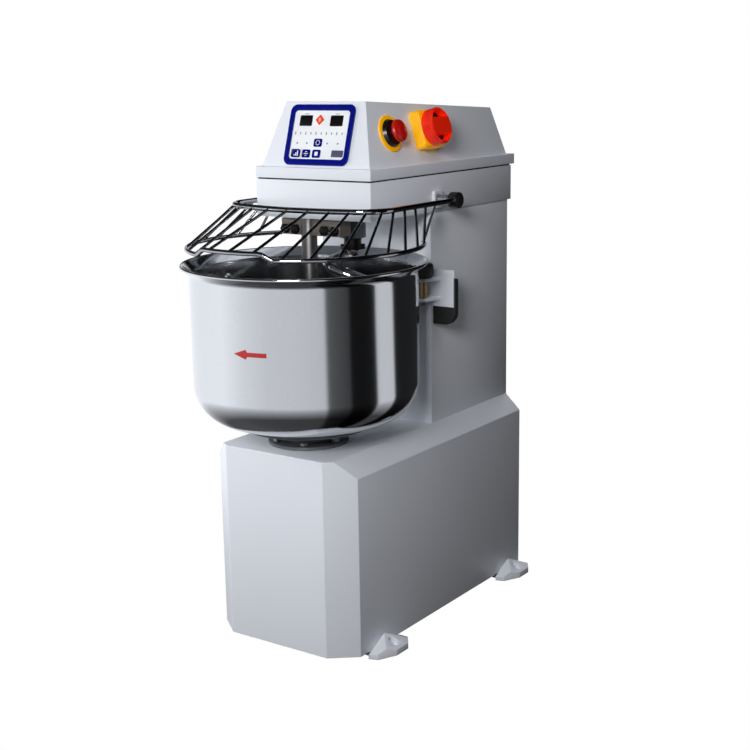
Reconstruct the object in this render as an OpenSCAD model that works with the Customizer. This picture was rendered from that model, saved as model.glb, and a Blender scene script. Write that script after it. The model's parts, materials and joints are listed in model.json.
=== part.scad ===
// Floor-standing spiral dough mixer, millimetres, +Z up, front towards -Y.
// The origin is on the floor, under the middle of the machine's outer box.
// Every piece is drawn from the bowl axis and moved into place by at_bowl().

/* [Overall] */
// Height of the lid's front top edge above the floor
machine_h = 960; // [900:5:1200]
// Distance from the bowl axis to the back of the lid
back_reach = 522; // [500:2:640]

/* [Base] */
// Width of the base cabinet
base_w = 308; // [280:2:380]
// Height of the cabinet top above the floor
base_top_z = 367; // [340:1:450]
// Height of the cabinet's lower edge above the floor
base_bottom_z = 12; // [8:0.5:30]
// Distance from the bowl axis to the cabinet front
base_front = 103; // [95:1:130]
// How far the cabinet back stays inside the lid back
base_back_inset = 22; // [15:1:60]
// Front corner chamfer, across the front
corner_across = 47; // [20:1:60]
// Front corner chamfer, along the side
corner_along = 37; // [20:1:60]
// Top edge chamfer, across the top
edge_across = 32; // [25:1:45]
// Top edge chamfer, down the side
edge_down = 31; // [15:1:60]
// Thickness of the cabinet and column sheet
sheet_t = 2.5; // [1.5:0.1:4]

/* [Column and head] */
// Distance from the bowl axis to the column front
column_front = 218; // [214:1:260]
// Height of the head's underside
head_bottom_z = 760; // [735:1:960]
// Height of the head box
head_h = 66; // [60:1:100]
// How far the head box is wider than the column, each side
head_overhang = 2; // [1:0.5:20]
// Distance from the bowl axis to the head front
head_front = 28; // [22:1:33]
// How far the head back stays inside the lid back
head_back_inset = 12; // [8:1:30]

/* [Lid] */
// Height of the lid's straight band
lid_band_h = 19.5; // [12:0.5:40]
// How far the lid band stands out past the head box
lid_overlap = 1; // [0.5:0.5:4]
// Width of the ledge beside the sloping sides
side_ledge = 8; // [4:0.5:15]
// Width of the ledge in front of the sloping front
front_ledge = 10; // [4:0.5:20]
// Width of the ledge behind the sloping back
rear_ledge = 18; // [8:0.5:30]
// How far each side leans in, up to the front top edge
side_lean = 31; // [15:1:45]
// How far the front leans back, up to the top edge
front_lean = 35; // [15:1:60]
// How far the back leans in
rear_lean = 20; // [5:1:40]
// How far the top falls from front to back
top_fall = 22; // [0:1:40]
// Thickness of the lid sheet
lid_t = 2; // [1:0.1:3]
// Thickness of the rubber seal under the lid
gasket_t = 2.5; // [1.5:0.5:5]

/* [Bowl] */
// Outer radius of the bowl wall
bowl_r = 200; // [180:1:204]
// Height of the bowl rim above the floor
bowl_rim_z = 690; // [640:1:694]
// Height of the bowl's underside above the floor
bowl_bottom_z = 410; // [408:1:440]
// Radius of the rounded bottom edge
bowl_knuckle = 70; // [40:1:80]
// Thickness of the bowl sheet
bowl_t = 2; // [1.5:0.1:4]
// How far the lip flares out
lip_out = 13; // [8:0.5:20]
// Height of the flared lip
lip_h = 17; // [10:0.5:30]
// Diameter of the rolled bead on the lip
bead_d = 6; // [4:0.5:10]
// Radius of the turntable under the bowl
turntable_r = 118; // [100:1:125]
// Thickness of the turntable
turntable_t = 12; // [8:0.5:14]

/* [Hook and post] */
// Hook axis to the right of the bowl axis
hook_x = 20; // [10:1:24]
// Hook axis behind the bowl axis
hook_y = 118; // [116:1:122]
// Outer radius of the hook's sweep
hook_sweep = 63; // [45:1:64]
// Diameter of the hook's bar
hook_d = 22; // [16:1:24]
// Turns of the hook's spiral
hook_turns = 1.5; // [1:0.1:2]
// Gap between the hook's lowest point and the bowl
hook_floor_gap = 14; // [8:1:40]
// Diameter of the breaker post
post_d = 28; // [22:1:29]
// Breaker post to the right of the bowl axis
post_x = -20; // [-24:1:-16]
// Breaker post behind the bowl axis
post_y = 43; // [43:1:46]
// Gap between the post's lower end and the bowl
post_gap = 16; // [8:1:60]

/* [Guard] */
// Height of the guard's hinge axis above the head's underside
hinge_rise = 22; // [20:1:30]
// Distance from the bowl axis back to the hinge axis
hinge_y = 236; // [225:1:250]
// Half the distance between the guard's arms
guard_half = 165; // [158:1:180]
// Radius of the guard's lower ring
guard_r = 206; // [198:1:212]
// Gap between the bowl rim and the guard's ring
guard_gap = 23; // [15:1:30]
// Diameter of the guard's upper tube
guard_tube_d = 10; // [8:0.5:14]
// Diameter of the guard's lower ring wire
guard_ring_d = 8; // [6:0.5:10]
// Diameter of the guard's bars
guard_bar_d = 5; // [4:0.5:8]
// Height of the raised stretch at the front of the ring
guard_step = 11; // [0:1:16]

/* [Drive] */
// Diameter of the hook spindle and the countershaft
shaft_d = 20; // [17:1:22]
// Diameter of the bowl shaft
bowl_shaft_d = 35; // [30:1:38]
// Radial clearance of a shaft in a bearing
run_gap = 0.05; // [0.02:0.01:0.1]
// Radius of the large belt pulley
pulley_r = 80; // [70:1:81]
// Radius of the motor pulley
motor_pulley_r = 20; // [18:1:30]
// Radius of the motor
motor_r = 68; // [55:1:72]
// Length of the motor body
motor_len = 210; // [150:5:250]
// Teeth of the small sprockets
small_teeth = 13; // [11:1:15]
// Teeth of the countershaft's large sprocket
middle_teeth = 38; // [30:1:40]
// Teeth of the bowl sprocket
bowl_teeth = 47; // [40:1:50]

/* [Controls] */
// Width of the control panel frame
panel_w = 140; // [120:1:150]
// Height of the control panel frame
panel_h = 108; // [90:1:112]
// Diameter of the stop button's yellow plate
stop_plate_d = 65; // [50:1:70]
// Diameter of the stop button
stop_d = 40; // [30:1:44]
// Travel of the stop button
stop_travel = 5; // [3:0.5:6]
// Side of the main switch's yellow block
switch_w = 68; // [50:1:74]
// Thickness of the main switch's yellow block
switch_t = 20; // [12:1:26]

/* [Feet] */
// How far a foot stands out from the cabinet side
foot_out = 34; // [28:1:60]
// Length of a foot along the cabinet
foot_len = 104; // [80:1:130]
// Height of a foot's peak above the floor
foot_h = 31; // [24:1:45]
// Diameter of a foot's anchor hole
anchor_d = 9; // [6:0.5:11]

/* [Hidden] */
$fn = 96;

// Outlines shared by several pieces
rim_r = bowl_r + lip_out + bead_d / 2;
bowl_y = (rim_r - back_reach) / 2;
base_back = back_reach - base_back_inset;
base_half = base_w / 2;
column_half = base_half - edge_across;
head_half = column_half + head_overhang;
head_back = back_reach - head_back_inset;
head_top_z = head_bottom_z + head_h;
lid_bottom_z = head_top_z + gasket_t;
ledge_z = lid_bottom_z + lid_band_h;
lid_half = head_half + lid_overlap;
lid_front = head_front - lid_overlap;
slope_half = lid_half - side_ledge;
slope_front = lid_front + front_ledge;
slope_back = back_reach - rear_ledge;
slope_rise = machine_h - ledge_z;
front_angle = atan(front_lean / slope_rise);
side_angle = atan(side_lean / slope_rise);
front_slope_len = norm([front_lean, slope_rise]);
side_slope_len = norm([side_lean, slope_rise]);

// Clearances
fit_gap = 0.3;
bolt_gap = 0.5;

// Guide rollers
roller_r = 22;
roller_h = 26;
roller_y = 186;
roller_top_z = bowl_rim_z - lip_h - 2;
roller_x = sqrt(pow(bowl_r + roller_r + fit_gap, 2) - pow(roller_y, 2));
roller_pin_d = 10;

// Drive levels and places
floor_z = head_bottom_z + sheet_t;
spindle_housing_d = 48;
spindle_housing_bottom = head_bottom_z - 40;
bearing_w = 12;
bearing_d = 42;
sprocket_t = 5;
chain_pitch = 9.525;
head_chain_z = floor_z + 15;
belt_z = floor_z + 45;
belt_w = 22;
counter_x = -45;
counter_y = column_front + 62;
motor_x = hook_x;
motor_y = base_back - 95;
motor_top = head_bottom_z - 8;
base_chain_z = base_top_z - 120;
housing_bottom = base_top_z - 77;
housing_top = bowl_bottom_z - turntable_t - 18;
housing_tube_d = 90;
housing_bolt_r = 60;
bridge_z = base_chain_z - 60;

// Guard lines
hinge_z = head_bottom_z + hinge_rise;
ring_z = bowl_rim_z + guard_gap + guard_ring_d / 2;
ring_y = 6;
frame_z = hinge_z;
corner_r = 60;
frame_back = 36;
frame_front = -40;
front_r = front_arc_radius();
front_c = front_r + frame_front;
front_span = atan((guard_half - corner_r) / (front_c - frame_back));
cap_d = 29;
cap_w = 18;
guard_pin_d = 12;

// Colours
white_paint = [0.86, 0.88, 0.92];
steel = [0.75, 0.77, 0.79];
dark_steel = [0.30, 0.31, 0.33];
rubber = [0.08, 0.08, 0.09];

// Radius of the guard's flat front arc, tangent to both corner arcs
function front_arc_radius() =
  let (a = guard_half - corner_r, b = frame_back - frame_front)
  (a * a + b * b - corner_r * corner_r) / (2 * (b - corner_r));

// Pitch radius and tip radius of a sprocket
function pitch_r(teeth) = chain_pitch / (2 * sin(180 / teeth));
function tip_r(teeth) = pitch_r(teeth) + 3.4;

module at_bowl() {
  translate([0, bowl_y, 0]) children();
}

module both_sides() {
  children();
  mirror([1, 0, 0]) children();
}

// Local x across, y up the slope, z out of the lid
module on_front_slope() {
  translate([0, slope_front, ledge_z]) rotate([90 - front_angle, 0, 0]) children();
}

// Local x towards the back, y up the slope, z out of the lid
module on_right_slope() {
  translate([slope_half, 0, ledge_z]) rotate([90 - side_angle, 0, 90]) children();
}

module bar_between(p, q, d) {
  v = q - p;
  translate(p)
    rotate([0, acos(v[2] / norm(v)), atan2(v[1], v[0])])
      cylinder(d = d, h = norm(v), $fn = 24);
}

module rounded_slab(w, h, t, r) {
  linear_extrude(t) rounded_rect(w, h, r);
}

// Rounded rectangle from exact circles and squares
module rounded_rect(w, h, r) {
  square([w - 2 * r, h], center = true);
  square([w, h - 2 * r], center = true);
  for (x = [-1, 1], y = [-1, 1])
    translate([x * (w / 2 - r), y * (h / 2 - r)]) circle(r);
}

function unit(v) = v / norm(v);

// Smooth step from 0 to 1
function ease(t) = let (u = min(1, max(0, t))) u * u * (3 - 2 * u);

// Points round p, square to the direction d, the first one towards angle a
function ring_round(p, d, a, diameter, sides) =
  let (b = unit(cross(d, [cos(a), sin(a), 0])), n = cross(b, d))
  [for (j = [0:sides - 1]) let (c = j * 360 / sides) p + diameter / 2 * (cos(c) * n + sin(c) * b)];

// Closed skin over a row of rings with equal numbers of points
module sweep(rings) {
  sides = len(rings[0]);
  last = len(rings) - 1;
  polyhedron([for (ring = rings) each ring], concat(
    [[for (j = [0:sides - 1]) j]],
    [for (i = [0:last - 1], j = [0:sides - 1])
      [i * sides + j, (i + 1) * sides + j, (i + 1) * sides + (j + 1) % sides, i * sides + (j + 1) % sides]],
    [[for (j = [sides - 1:-1:0]) last * sides + j]]
  ));
}

// Hexagonal bolt head, measured across its flats
module hex_head(af, h) {
  cylinder(d = af / cos(30), h = h, $fn = 6);
}

// ---------------------------------------------------------------- base

// Cabinet outline seen from above, pulled in by i
module base_plan(i) {
  cx = corner_across;
  cy = corner_along;
  k = i * (norm([cx, cy]) - cx) / cy;
  m = i * (norm([cx, cy]) - cy) / cx;
  polygon([
    [-base_half + cx + m, -base_front + i], [base_half - cx - m, -base_front + i],
    [base_half - i, -base_front + cy + k], [base_half - i, base_back - i],
    [-base_half + i, base_back - i], [-base_half + i, -base_front + cy + k]
  ]);
}

// Cabinet outline seen from the front, pulled in by i
module base_section(i, bottom) {
  k = i * (norm([edge_across, edge_down]) - edge_down) / edge_across;
  m = i * (norm([edge_across, edge_down]) - edge_across) / edge_down;
  polygon([
    [-base_half + i, bottom], [base_half - i, bottom],
    [base_half - i, base_top_z - edge_down - m], [column_half - k, base_top_z - i],
    [-column_half + k, base_top_z - i], [-base_half + i, base_top_z - edge_down - m]
  ]);
}

module base_block(i, bottom) {
  intersection() {
    translate([0, 0, bottom]) linear_extrude(base_top_z - bottom) base_plan(i);
    translate([0, back_reach, 0]) rotate([90, 0, 0])
      linear_extrude(2 * back_reach) base_section(i, bottom);
  }
}

// Opening at the back of the cabinet
base_cover_w = base_w - 80;
base_cover_z0 = base_bottom_z + 60;
base_cover_h = base_top_z - edge_down - base_cover_z0 - 30;

module base_shell() at_bowl() color(white_paint) difference() {
  base_block(0, base_bottom_z);
  base_block(sheet_t, base_bottom_z - 1);
  cylinder(d = housing_tube_d + 2 * bolt_gap, h = base_top_z + 1);
  column_hole(base_top_z - 20, 40);
  translate([-base_cover_w / 2, base_back - 10, base_cover_z0]) cube([base_cover_w, 20, base_cover_h]);
  turntable_bolt_places() translate([0, 0, base_top_z - 20]) cylinder(d = frame_bolt_d + bolt_gap, h = 40);
  column_bolt_places() translate([0, 0, base_top_z - 20]) cylinder(d = frame_bolt_d + bolt_gap, h = 40);
  cover_screw_places() cover_screw_hole();
}

// Way through the cabinet top and the head floor for the drive
module column_hole(z, h) {
  x = column_half - 30;
  y0 = column_front + 26;
  translate([-x, y0, z]) cube([2 * x, base_back - 26 - y0, h]);
}

module base_floor_plate() at_bowl() color(steel) difference() {
  translate([0, 0, base_bottom_z]) linear_extrude(3) base_plan(sheet_t);
  foot_bolt_places() translate([0, 0, -1]) cylinder(d = foot_bolt_d + bolt_gap, h = 60);
}

// Feet: a tongue under the cabinet and a peaked toe outside it
foot_front_y = 8;
foot_rear_y = base_back - 44;
foot_tongue = 46;
foot_bolt_d = 10;
foot_toe = 36;
anchor_x = foot_out - 15;

module foot_places() {
  for (y = [foot_front_y, foot_rear_y]) both_sides() translate([base_half, y, 0]) children();
}

module foot_bolt_places() {
  foot_places() translate([-foot_tongue / 2 - 4, 0, 0]) children();
}

module foot_body() {
  translate([-foot_tongue, -foot_len / 2 + 12, 0]) cube([foot_tongue, foot_len - 24, base_bottom_z]);
  intersection() {
    linear_extrude(foot_h) polygon([
      [0, -foot_len / 2], [foot_out * 0.5, -foot_len / 2 + 6], [foot_out, -foot_toe / 2 + 6],
      [foot_out, foot_toe / 2 + 6], [foot_out * 0.5, foot_len / 2 - 4], [0, foot_len / 2]
    ]);
    translate([0, foot_len / 2, 0]) rotate([90, 0, 0]) linear_extrude(foot_len)
      polygon([[0, 0], [foot_out, 0], [foot_out, base_bottom_z - 1], [0, foot_h]]);
    rotate([90, 0, 90]) linear_extrude(foot_out) polygon([
      [-foot_len / 2, 0], [foot_len / 2, 0], [foot_len / 2, 8], [0, foot_h], [-foot_len / 2, 8]
    ]);
  }
}

module feet() at_bowl() color([0.9, 0.91, 0.92]) foot_places() difference() {
  foot_body();
  translate([anchor_x, 0, -1]) cylinder(d = anchor_d, h = foot_h + 2);
  translate([anchor_x, 0, 9]) cylinder(d = anchor_d + 9, h = foot_h);
  translate([-foot_tongue / 2 - 4, 0, -1]) cylinder(d = foot_bolt_d + bolt_gap, h = 60);
  translate([-foot_tongue / 2 - 4, 0, -1]) cylinder(d = 20, h = 6);
}

module foot_bolts() at_bowl() color(steel) foot_bolt_places() {
  translate([0, 0, 0.6]) cylinder(d = 17, h = 4.4);
  translate([0, 0, 5]) cylinder(d = foot_bolt_d, h = base_bottom_z + 9);
  difference() {
    translate([0, 0, base_bottom_z + 3]) hex_head(17, 8);
    translate([0, 0, base_bottom_z]) cylinder(d = foot_bolt_d, h = 20);
  }
}

// ---------------------------------------------------------------- column and covers

column_cover_z0 = base_top_z + 30;
column_cover_h = head_bottom_z - base_top_z - 60;
column_cover_w = 2 * column_half - 60;
cover_lap = 14;
cover_t = 2;
cover_screw_d = 4;
frame_bolt_d = 8;
plate_t = 3;
vent_w = 110;

module column_bolt_places() {
  x = column_half - 15;
  for (sx = [-x, x], y = [column_front + 13, (column_front + base_back) / 2, base_back - 13])
    translate([sx, y, 0]) children();
}

module column_shell() at_bowl() color(white_paint) difference() {
  translate([-column_half, column_front, base_top_z])
    cube([2 * column_half, base_back - column_front, head_bottom_z - base_top_z]);
  translate([-column_half + sheet_t, column_front + sheet_t, base_top_z + plate_t])
    cube([2 * (column_half - sheet_t), base_back - column_front - 2 * sheet_t,
          head_bottom_z - base_top_z - 2 * plate_t]);
  column_hole(base_top_z - 1, head_bottom_z - base_top_z + 2);
  translate([-column_cover_w / 2, base_back - 10, column_cover_z0])
    cube([column_cover_w, 20, column_cover_h]);
  column_bolt_places() translate([0, 0, base_top_z - 1])
    cylinder(d = frame_bolt_d + bolt_gap, h = head_bottom_z - base_top_z + 2);
  cover_screw_places() cover_screw_hole();
}

module cover_screw_places() {
  for (x = [-1, 1], z = [0, 0.5, 1]) {
    translate([x * (base_cover_w / 2 + cover_lap / 2), base_back + cover_t, base_cover_z0 + z * base_cover_h])
      children();
    translate([x * (column_cover_w / 2 + cover_lap / 2), base_back + cover_t,
               column_cover_z0 + z * column_cover_h]) children();
  }
}

module cover_screw_hole() {
  rotate([90, 0, 0]) translate([0, 0, -5]) cylinder(d = cover_screw_d + bolt_gap, h = 20);
}

module rear_covers() at_bowl() color(white_paint) difference() {
  union() {
    translate([-base_cover_w / 2 - cover_lap, base_back, base_cover_z0 - cover_lap])
      cube([base_cover_w + 2 * cover_lap, cover_t, base_cover_h + 2 * cover_lap]);
    translate([-column_cover_w / 2 - cover_lap, base_back, column_cover_z0 - cover_lap])
      cube([column_cover_w + 2 * cover_lap, cover_t, column_cover_h + 2 * cover_lap]);
  }
  cover_screw_places() cover_screw_hole();
  translate([gland_x, base_back - 5, gland_z]) rotate([-90, 0, 0])
    cylinder(d = gland_thread_d + bolt_gap, h = 12);
  for (i = [0:7], z = [base_cover_z0 + base_cover_h - 30, column_cover_z0 + column_cover_h - 30])
    translate([-vent_w / 2, base_back - 5, z - i * 9]) cube([vent_w, 12, 4]);
}

module cover_screws() at_bowl() color(steel) cover_screw_places() {
  rotate([90, 0, 0]) cylinder(d = cover_screw_d, h = cover_t + sheet_t + 4);
  rotate([-90, 0, 0]) difference() {
    cylinder(d = 2 * cover_screw_d, h = 2.4);
    translate([0, 0, 1.2]) cylinder(d = 2.6, h = 3, $fn = 6);
  }
}

// Bolts of the column's two flanges, the post bracket and the hinge brackets' inner nuts
module frame_bolts() at_bowl() color(steel) {
  column_bolt_places() {
    translate([0, 0, base_top_z + plate_t]) hex_head(13, 5.3);
    translate([0, 0, base_top_z - sheet_t - 10]) cylinder(d = frame_bolt_d, h = plate_t + sheet_t + 10);
    translate([0, 0, base_top_z - sheet_t - 6.5]) nut(13, 6.5, frame_bolt_d);
    translate([0, 0, head_bottom_z - plate_t - 5.3]) hex_head(13, 5.3);
    translate([0, 0, head_bottom_z - plate_t]) cylinder(d = frame_bolt_d, h = plate_t + sheet_t + 9);
    translate([0, 0, floor_z]) nut(13, 6.5, frame_bolt_d);
  }
  bracket_bolt_places() {
    translate([0, 0, head_bottom_z - bracket_bolt_depth])
      cylinder(d = frame_bolt_d, h = bracket_bolt_depth + sheet_t);
    translate([0, 0, floor_z]) hex_head(13, 5.3);
  }
  motor_bolt_places() {
    translate([0, 0, motor_top - 8]) cylinder(d = frame_bolt_d, h = floor_z - motor_top + 17);
    translate([0, 0, motor_top - 5.3]) hex_head(13, 5.3);
    translate([0, 0, floor_z]) nut(13, 6.5, frame_bolt_d);
  }
  turntable_bolt_places() {
    translate([0, 0, base_top_z + 6]) hex_head(13, 5.3);
    translate([0, 0, base_top_z - sheet_t - 10]) cylinder(d = frame_bolt_d, h = sheet_t + 16);
    translate([0, 0, base_top_z - sheet_t - 6.5]) nut(13, 6.5, frame_bolt_d);
  }
  housing_screw_places() {
    translate([0, 0, head_bottom_z - 5]) cylinder(d = housing_screw_d, h = sheet_t + 11);
    translate([0, 0, floor_z + 6]) hex_head(10, 4);
    translate([0, 0, head_bottom_z - 5]) nut(10, 5, housing_screw_d);
  }
}

module nut(af, h, d) {
  difference() {
    hex_head(af, h);
    translate([0, 0, -1]) cylinder(d = d, h = h + 2);
  }
}

// ---------------------------------------------------------------- head and lid

flange_w = 14;

module head_box() at_bowl() color(white_paint) difference() {
  translate([-head_half, head_front, head_bottom_z]) cube([2 * head_half, head_back - head_front, head_h]);
  translate([-head_half + sheet_t, head_front + sheet_t, floor_z])
    cube([2 * (head_half - sheet_t), head_back - head_front - 2 * sheet_t, head_h - 2 * sheet_t]);
  translate([-head_half + flange_w, head_front + flange_w, floor_z])
    cube([2 * (head_half - flange_w), head_back - head_front - 2 * flange_w, head_h]);
  translate([hook_x, hook_y, head_bottom_z - 1]) cylinder(d = spindle_housing_d, h = 20);
  housing_screw_places() translate([0, 0, head_bottom_z - 1])
    cylinder(d = housing_screw_d + bolt_gap, h = 20);
  motor_bolt_places() translate([0, 0, head_bottom_z - 1]) cylinder(d = frame_bolt_d + bolt_gap, h = 20);
  translate([motor_x, motor_y, head_bottom_z - 1]) cylinder(d = 60, h = 20);
  translate([counter_x, counter_y, head_bottom_z - 1]) cylinder(d = shaft_d + 8, h = 20);
  column_bolt_places() translate([0, 0, head_bottom_z - 1]) cylinder(d = frame_bolt_d + bolt_gap, h = 20);
  bracket_bolt_places() translate([0, 0, head_bottom_z - 1]) cylinder(d = frame_bolt_d + bolt_gap, h = 20);
}

module lid_gasket() at_bowl() color(rubber) difference() {
  translate([-head_half + 2, head_front + 2, head_top_z])
    cube([2 * (head_half - 2), head_back - head_front - 4, gasket_t]);
  translate([-head_half + flange_w - 1, head_front + flange_w - 1, head_top_z - 1])
    cube([2 * (head_half - flange_w + 1), head_back - head_front - 2 * flange_w + 2, gasket_t + 2]);
}

// Sloping part of the lid, pulled in by i
module lid_frustum(i) {
  si = i / cos(side_angle);
  fi = i / cos(front_angle);
  low = ledge_z - lid_t - 1;
  side_low = (ledge_z - low) * side_lean / slope_rise;
  front_low = (ledge_z - low) * front_lean / slope_rise;
  rear_low = (ledge_z - low) * rear_lean / (slope_rise - top_fall);
  intersection() {
    translate([0, back_reach, 0]) rotate([90, 0, 0]) linear_extrude(2 * back_reach) polygon([
      [slope_half + side_low - si, low], [slope_half - side_lean - si, machine_h],
      [-slope_half + side_lean + si, machine_h], [-slope_half - side_low + si, low]
    ]);
    rotate([90, 0, 90]) translate([0, 0, -lid_half]) linear_extrude(2 * lid_half) polygon([
      [slope_front - front_low + fi, low], [slope_front + front_lean + fi, machine_h - i],
      [slope_back - rear_lean - fi, machine_h - top_fall - i], [slope_back + rear_low - fi, low]
    ]);
  }
}

module lid() at_bowl() color(white_paint) difference() {
  union() {
    translate([-lid_half, lid_front, lid_bottom_z]) cube([2 * lid_half, back_reach - lid_front, lid_band_h]);
    intersection() {
      lid_frustum(0);
      translate([-lid_half, 0, ledge_z - 1]) cube([2 * lid_half, back_reach, slope_rise + 2]);
    }
  }
  translate([-lid_half + lid_t, lid_front + lid_t, lid_bottom_z + lid_t])
    cube([2 * (lid_half - lid_t), back_reach - lid_front - 2 * lid_t, lid_band_h - 2 * lid_t]);
  translate([-head_half + flange_w, head_front + flange_w, lid_bottom_z - 1])
    cube([2 * (head_half - flange_w), head_back - head_front - 2 * flange_w, lid_band_h / 2]);
  lid_frustum(lid_t);
  on_right_slope() translate([stop_y, controls_up, -20]) cylinder(d = stop_barrel_d, h = 40);
  on_right_slope() translate([switch_y, controls_up, -20]) cylinder(d = switch_boss_d, h = 40);
  on_front_slope() translate([0, panel_up, -10]) cube([50, 12, 40], center = true);
}

// ---------------------------------------------------------------- panel

panel_up = front_slope_len / 2 - 1;
frame_w = 11;
frame_t = 3;
face_t = 2;
display_w = 27;
display_h = 19;
display_x = 33;
display_up = 25;
key_w = 18;
key_h = 14;
key_pitch = 22;
key_t = 0.7;

module on_panel() {
  at_bowl() on_front_slope() translate([0, panel_up, 0]) children();
}

module panel_frame() on_panel() color([0.10, 0.22, 0.50]) difference() {
  rounded_slab(panel_w, panel_h, frame_t, 13);
  translate([0, 0, -1]) rounded_slab(panel_w - 2 * frame_w, panel_h - 2 * frame_w, frame_t + 2, 6);
}

module panel_face() on_panel() color([0.92, 0.94, 0.96]) difference() {
  rounded_slab(panel_w - 2 * frame_w, panel_h - 2 * frame_w, face_t, 6);
  display_places() translate([0, 0, face_t - 1]) rounded_slab(display_w, display_h, 2, 2);
}

module display_places() {
  for (x = [-display_x, display_x]) translate([x, display_up, 0]) children();
}

module panel_displays() on_panel() color([0.05, 0.05, 0.06]) display_places()
  translate([0, 0, face_t - 1]) rounded_slab(display_w, display_h, 1.3, 2);

// Two rows of membrane keys and the row of time marks, all printed pads
module panel_keys() on_panel() color([0.16, 0.28, 0.60]) translate([0, 0, face_t]) {
  for (i = [0:2]) translate([(i - 2) * key_pitch, -panel_h / 2 + 23, 0])
    rounded_slab(key_w, key_h, key_t, 2.5);
  translate([1.9 * key_pitch, -panel_h / 2 + 23, 0]) rounded_slab(26, 12, key_t, 2);
  translate([0, -panel_h / 2 + 43, 0]) rounded_slab(16, key_h, key_t, 2.5);
  for (x = [-2, -1, 1, 2]) translate([x * key_pitch, -panel_h / 2 + 43, 0]) cylinder(d = 6, h = key_t);
  for (i = [0:9]) translate([(i - 4.5) * 11, 3, 0]) rounded_slab(6, 4, key_t, 1);
  translate([0, display_up, 0]) rotate(45) rounded_slab(11, 11, key_t, 1.5);
}

// ---------------------------------------------------------------- switches

stop_y = 121;
switch_y = 227;
controls_up = side_slope_len / 2;
stop_plate_t = 3;
stop_barrel_d = 22;
stop_collar_top = 9;
stop_collar_d = 50;
stop_stem_d = 12;
stop_head_z = stop_collar_top + stop_travel + 1;
stop_head_h = 13;
switch_boss_d = 16;
switch_stem_d = 10;
knob_d = 66;
knob_h = 22;
knob_rim = 3.5;
knob_bar = 30;

module at_stop() {
  at_bowl() on_right_slope() translate([stop_y, controls_up, 0]) children();
}

module at_switch() {
  at_bowl() on_right_slope() translate([switch_y, controls_up, 0]) children();
}

module stop_plate() at_stop() color([0.98, 0.80, 0.05]) difference() {
  rotate_extrude() polygon([
    [0, 0], [stop_plate_d / 2, 0], [stop_plate_d / 2, stop_plate_t - 1],
    [stop_plate_d / 2 - 1, stop_plate_t], [0, stop_plate_t]
  ]);
  translate([0, 0, -1]) cylinder(d = stop_barrel_d, h = stop_plate_t + 2);
}

module stop_collar() at_stop() color([0.12, 0.10, 0.10]) difference() {
  union() {
    translate([0, 0, -30]) cylinder(d = stop_barrel_d, h = 31);
    cylinder(d = stop_barrel_d, h = stop_plate_t + 1);
    translate([0, 0, stop_plate_t])
      cylinder(d1 = stop_collar_d, d2 = stop_collar_d - 6, h = stop_collar_top - stop_plate_t);
    translate([-18, -20, -54]) cube([36, 40, 25]);
  }
  translate([0, 0, -stop_travel - 14]) cylinder(d = stop_stem_d + 2 * run_gap, h = 60);
}

module stop_button() at_stop() color([0.80, 0.05, 0.05]) {
  translate([0, 0, -11]) cylinder(d = stop_stem_d, h = stop_head_z + 12);
  translate([0, 0, stop_head_z]) rotate_extrude() intersection() {
    translate([0, stop_head_h - 55]) circle(55);
    union() {
      translate([0, 4]) square([stop_d / 2, stop_head_h]);
      polygon([[0, 0], [stop_d / 2 - 8, 0], [stop_d / 2, 4.1], [0, 4.1]]);
    }
  }
}

module switch_block() at_switch() color([0.98, 0.78, 0.04]) difference() {
  union() {
    rounded_slab(switch_w, switch_w, switch_t - 2, 7);
    translate([0, 0, switch_t - 2]) rounded_slab(switch_w - 4, switch_w - 4, 2, 6);
    translate([0, 0, -12]) cylinder(d = switch_boss_d, h = 13);
  }
  translate([0, 0, -8]) cylinder(d = switch_stem_d + 2 * run_gap, h = 60);
}

module switch_knob() at_switch() color([0.80, 0.04, 0.04]) {
  translate([0, 0, -6]) cylinder(d = switch_stem_d, h = switch_t + 8);
  translate([0, 0, switch_t + fit_gap]) difference() {
    rotate_extrude() polygon([
      [0, 0], [knob_d / 2, 0], [knob_d / 2, knob_h - 3], [knob_d / 2 - 3, knob_h], [0, knob_h]
    ]);
    translate([0, 0, 5]) difference() {
      cylinder(r = knob_d / 2 - knob_rim, h = knob_h);
      cube([knob_d, knob_bar, 2 * knob_h], center = true);
    }
  }
}

// ---------------------------------------------------------------- guard

pin_x0 = head_half + 5;
cap_x0 = guard_half - cap_w / 2;
stub_d = 18;

module at_hinge() {
  at_bowl() translate([0, hinge_y, hinge_z]) children();
}

module guard_hinge_brackets() at_hinge() color([0.95, 0.95, 0.96]) both_sides() difference() {
  translate([head_half, 0, 0]) rotate([90, 0, 90]) rounded_slab(30, 32, pin_x0 - head_half, 5);
  translate([head_half - 1, 0, 0]) rotate([0, 90, 0]) cylinder(d = stub_d, h = 20);
}

module guard_pins() at_hinge() color([0.80, 0.81, 0.83]) both_sides() {
  translate([head_half, 0, 0]) rotate([0, 90, 0]) cylinder(d = stub_d, h = cap_x0 - fit_gap - head_half);
  translate([cap_x0 - 1, 0, 0]) rotate([0, 90, 0]) cylinder(d = guard_pin_d, h = cap_w - 4);
}

module guard_end_caps() at_hinge() color([0.06, 0.06, 0.07]) both_sides() difference() {
  translate([cap_x0, 0, 0]) rotate([0, 90, 0]) rotate_extrude() polygon([
    [0, 0], [cap_d / 2, 0], [cap_d / 2, cap_w - 2], [cap_d / 2 - 2, cap_w], [0, cap_w]
  ]);
  translate([cap_x0 - 1, 0, 0]) rotate([0, 90, 0])
    cylinder(d = guard_pin_d + 2 * run_gap, h = cap_w - 3);
  translate([guard_half, -cap_d / 2 + 4, 0]) rotate([90, 0, 0]) cylinder(d = guard_tube_d, h = cap_d);
}

module arc_tube(r, a0, a1, d) {
  rotate(a0) rotate_extrude(angle = a1 - a0) translate([r, 0]) circle(d = d, $fn = 48);
}

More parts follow.
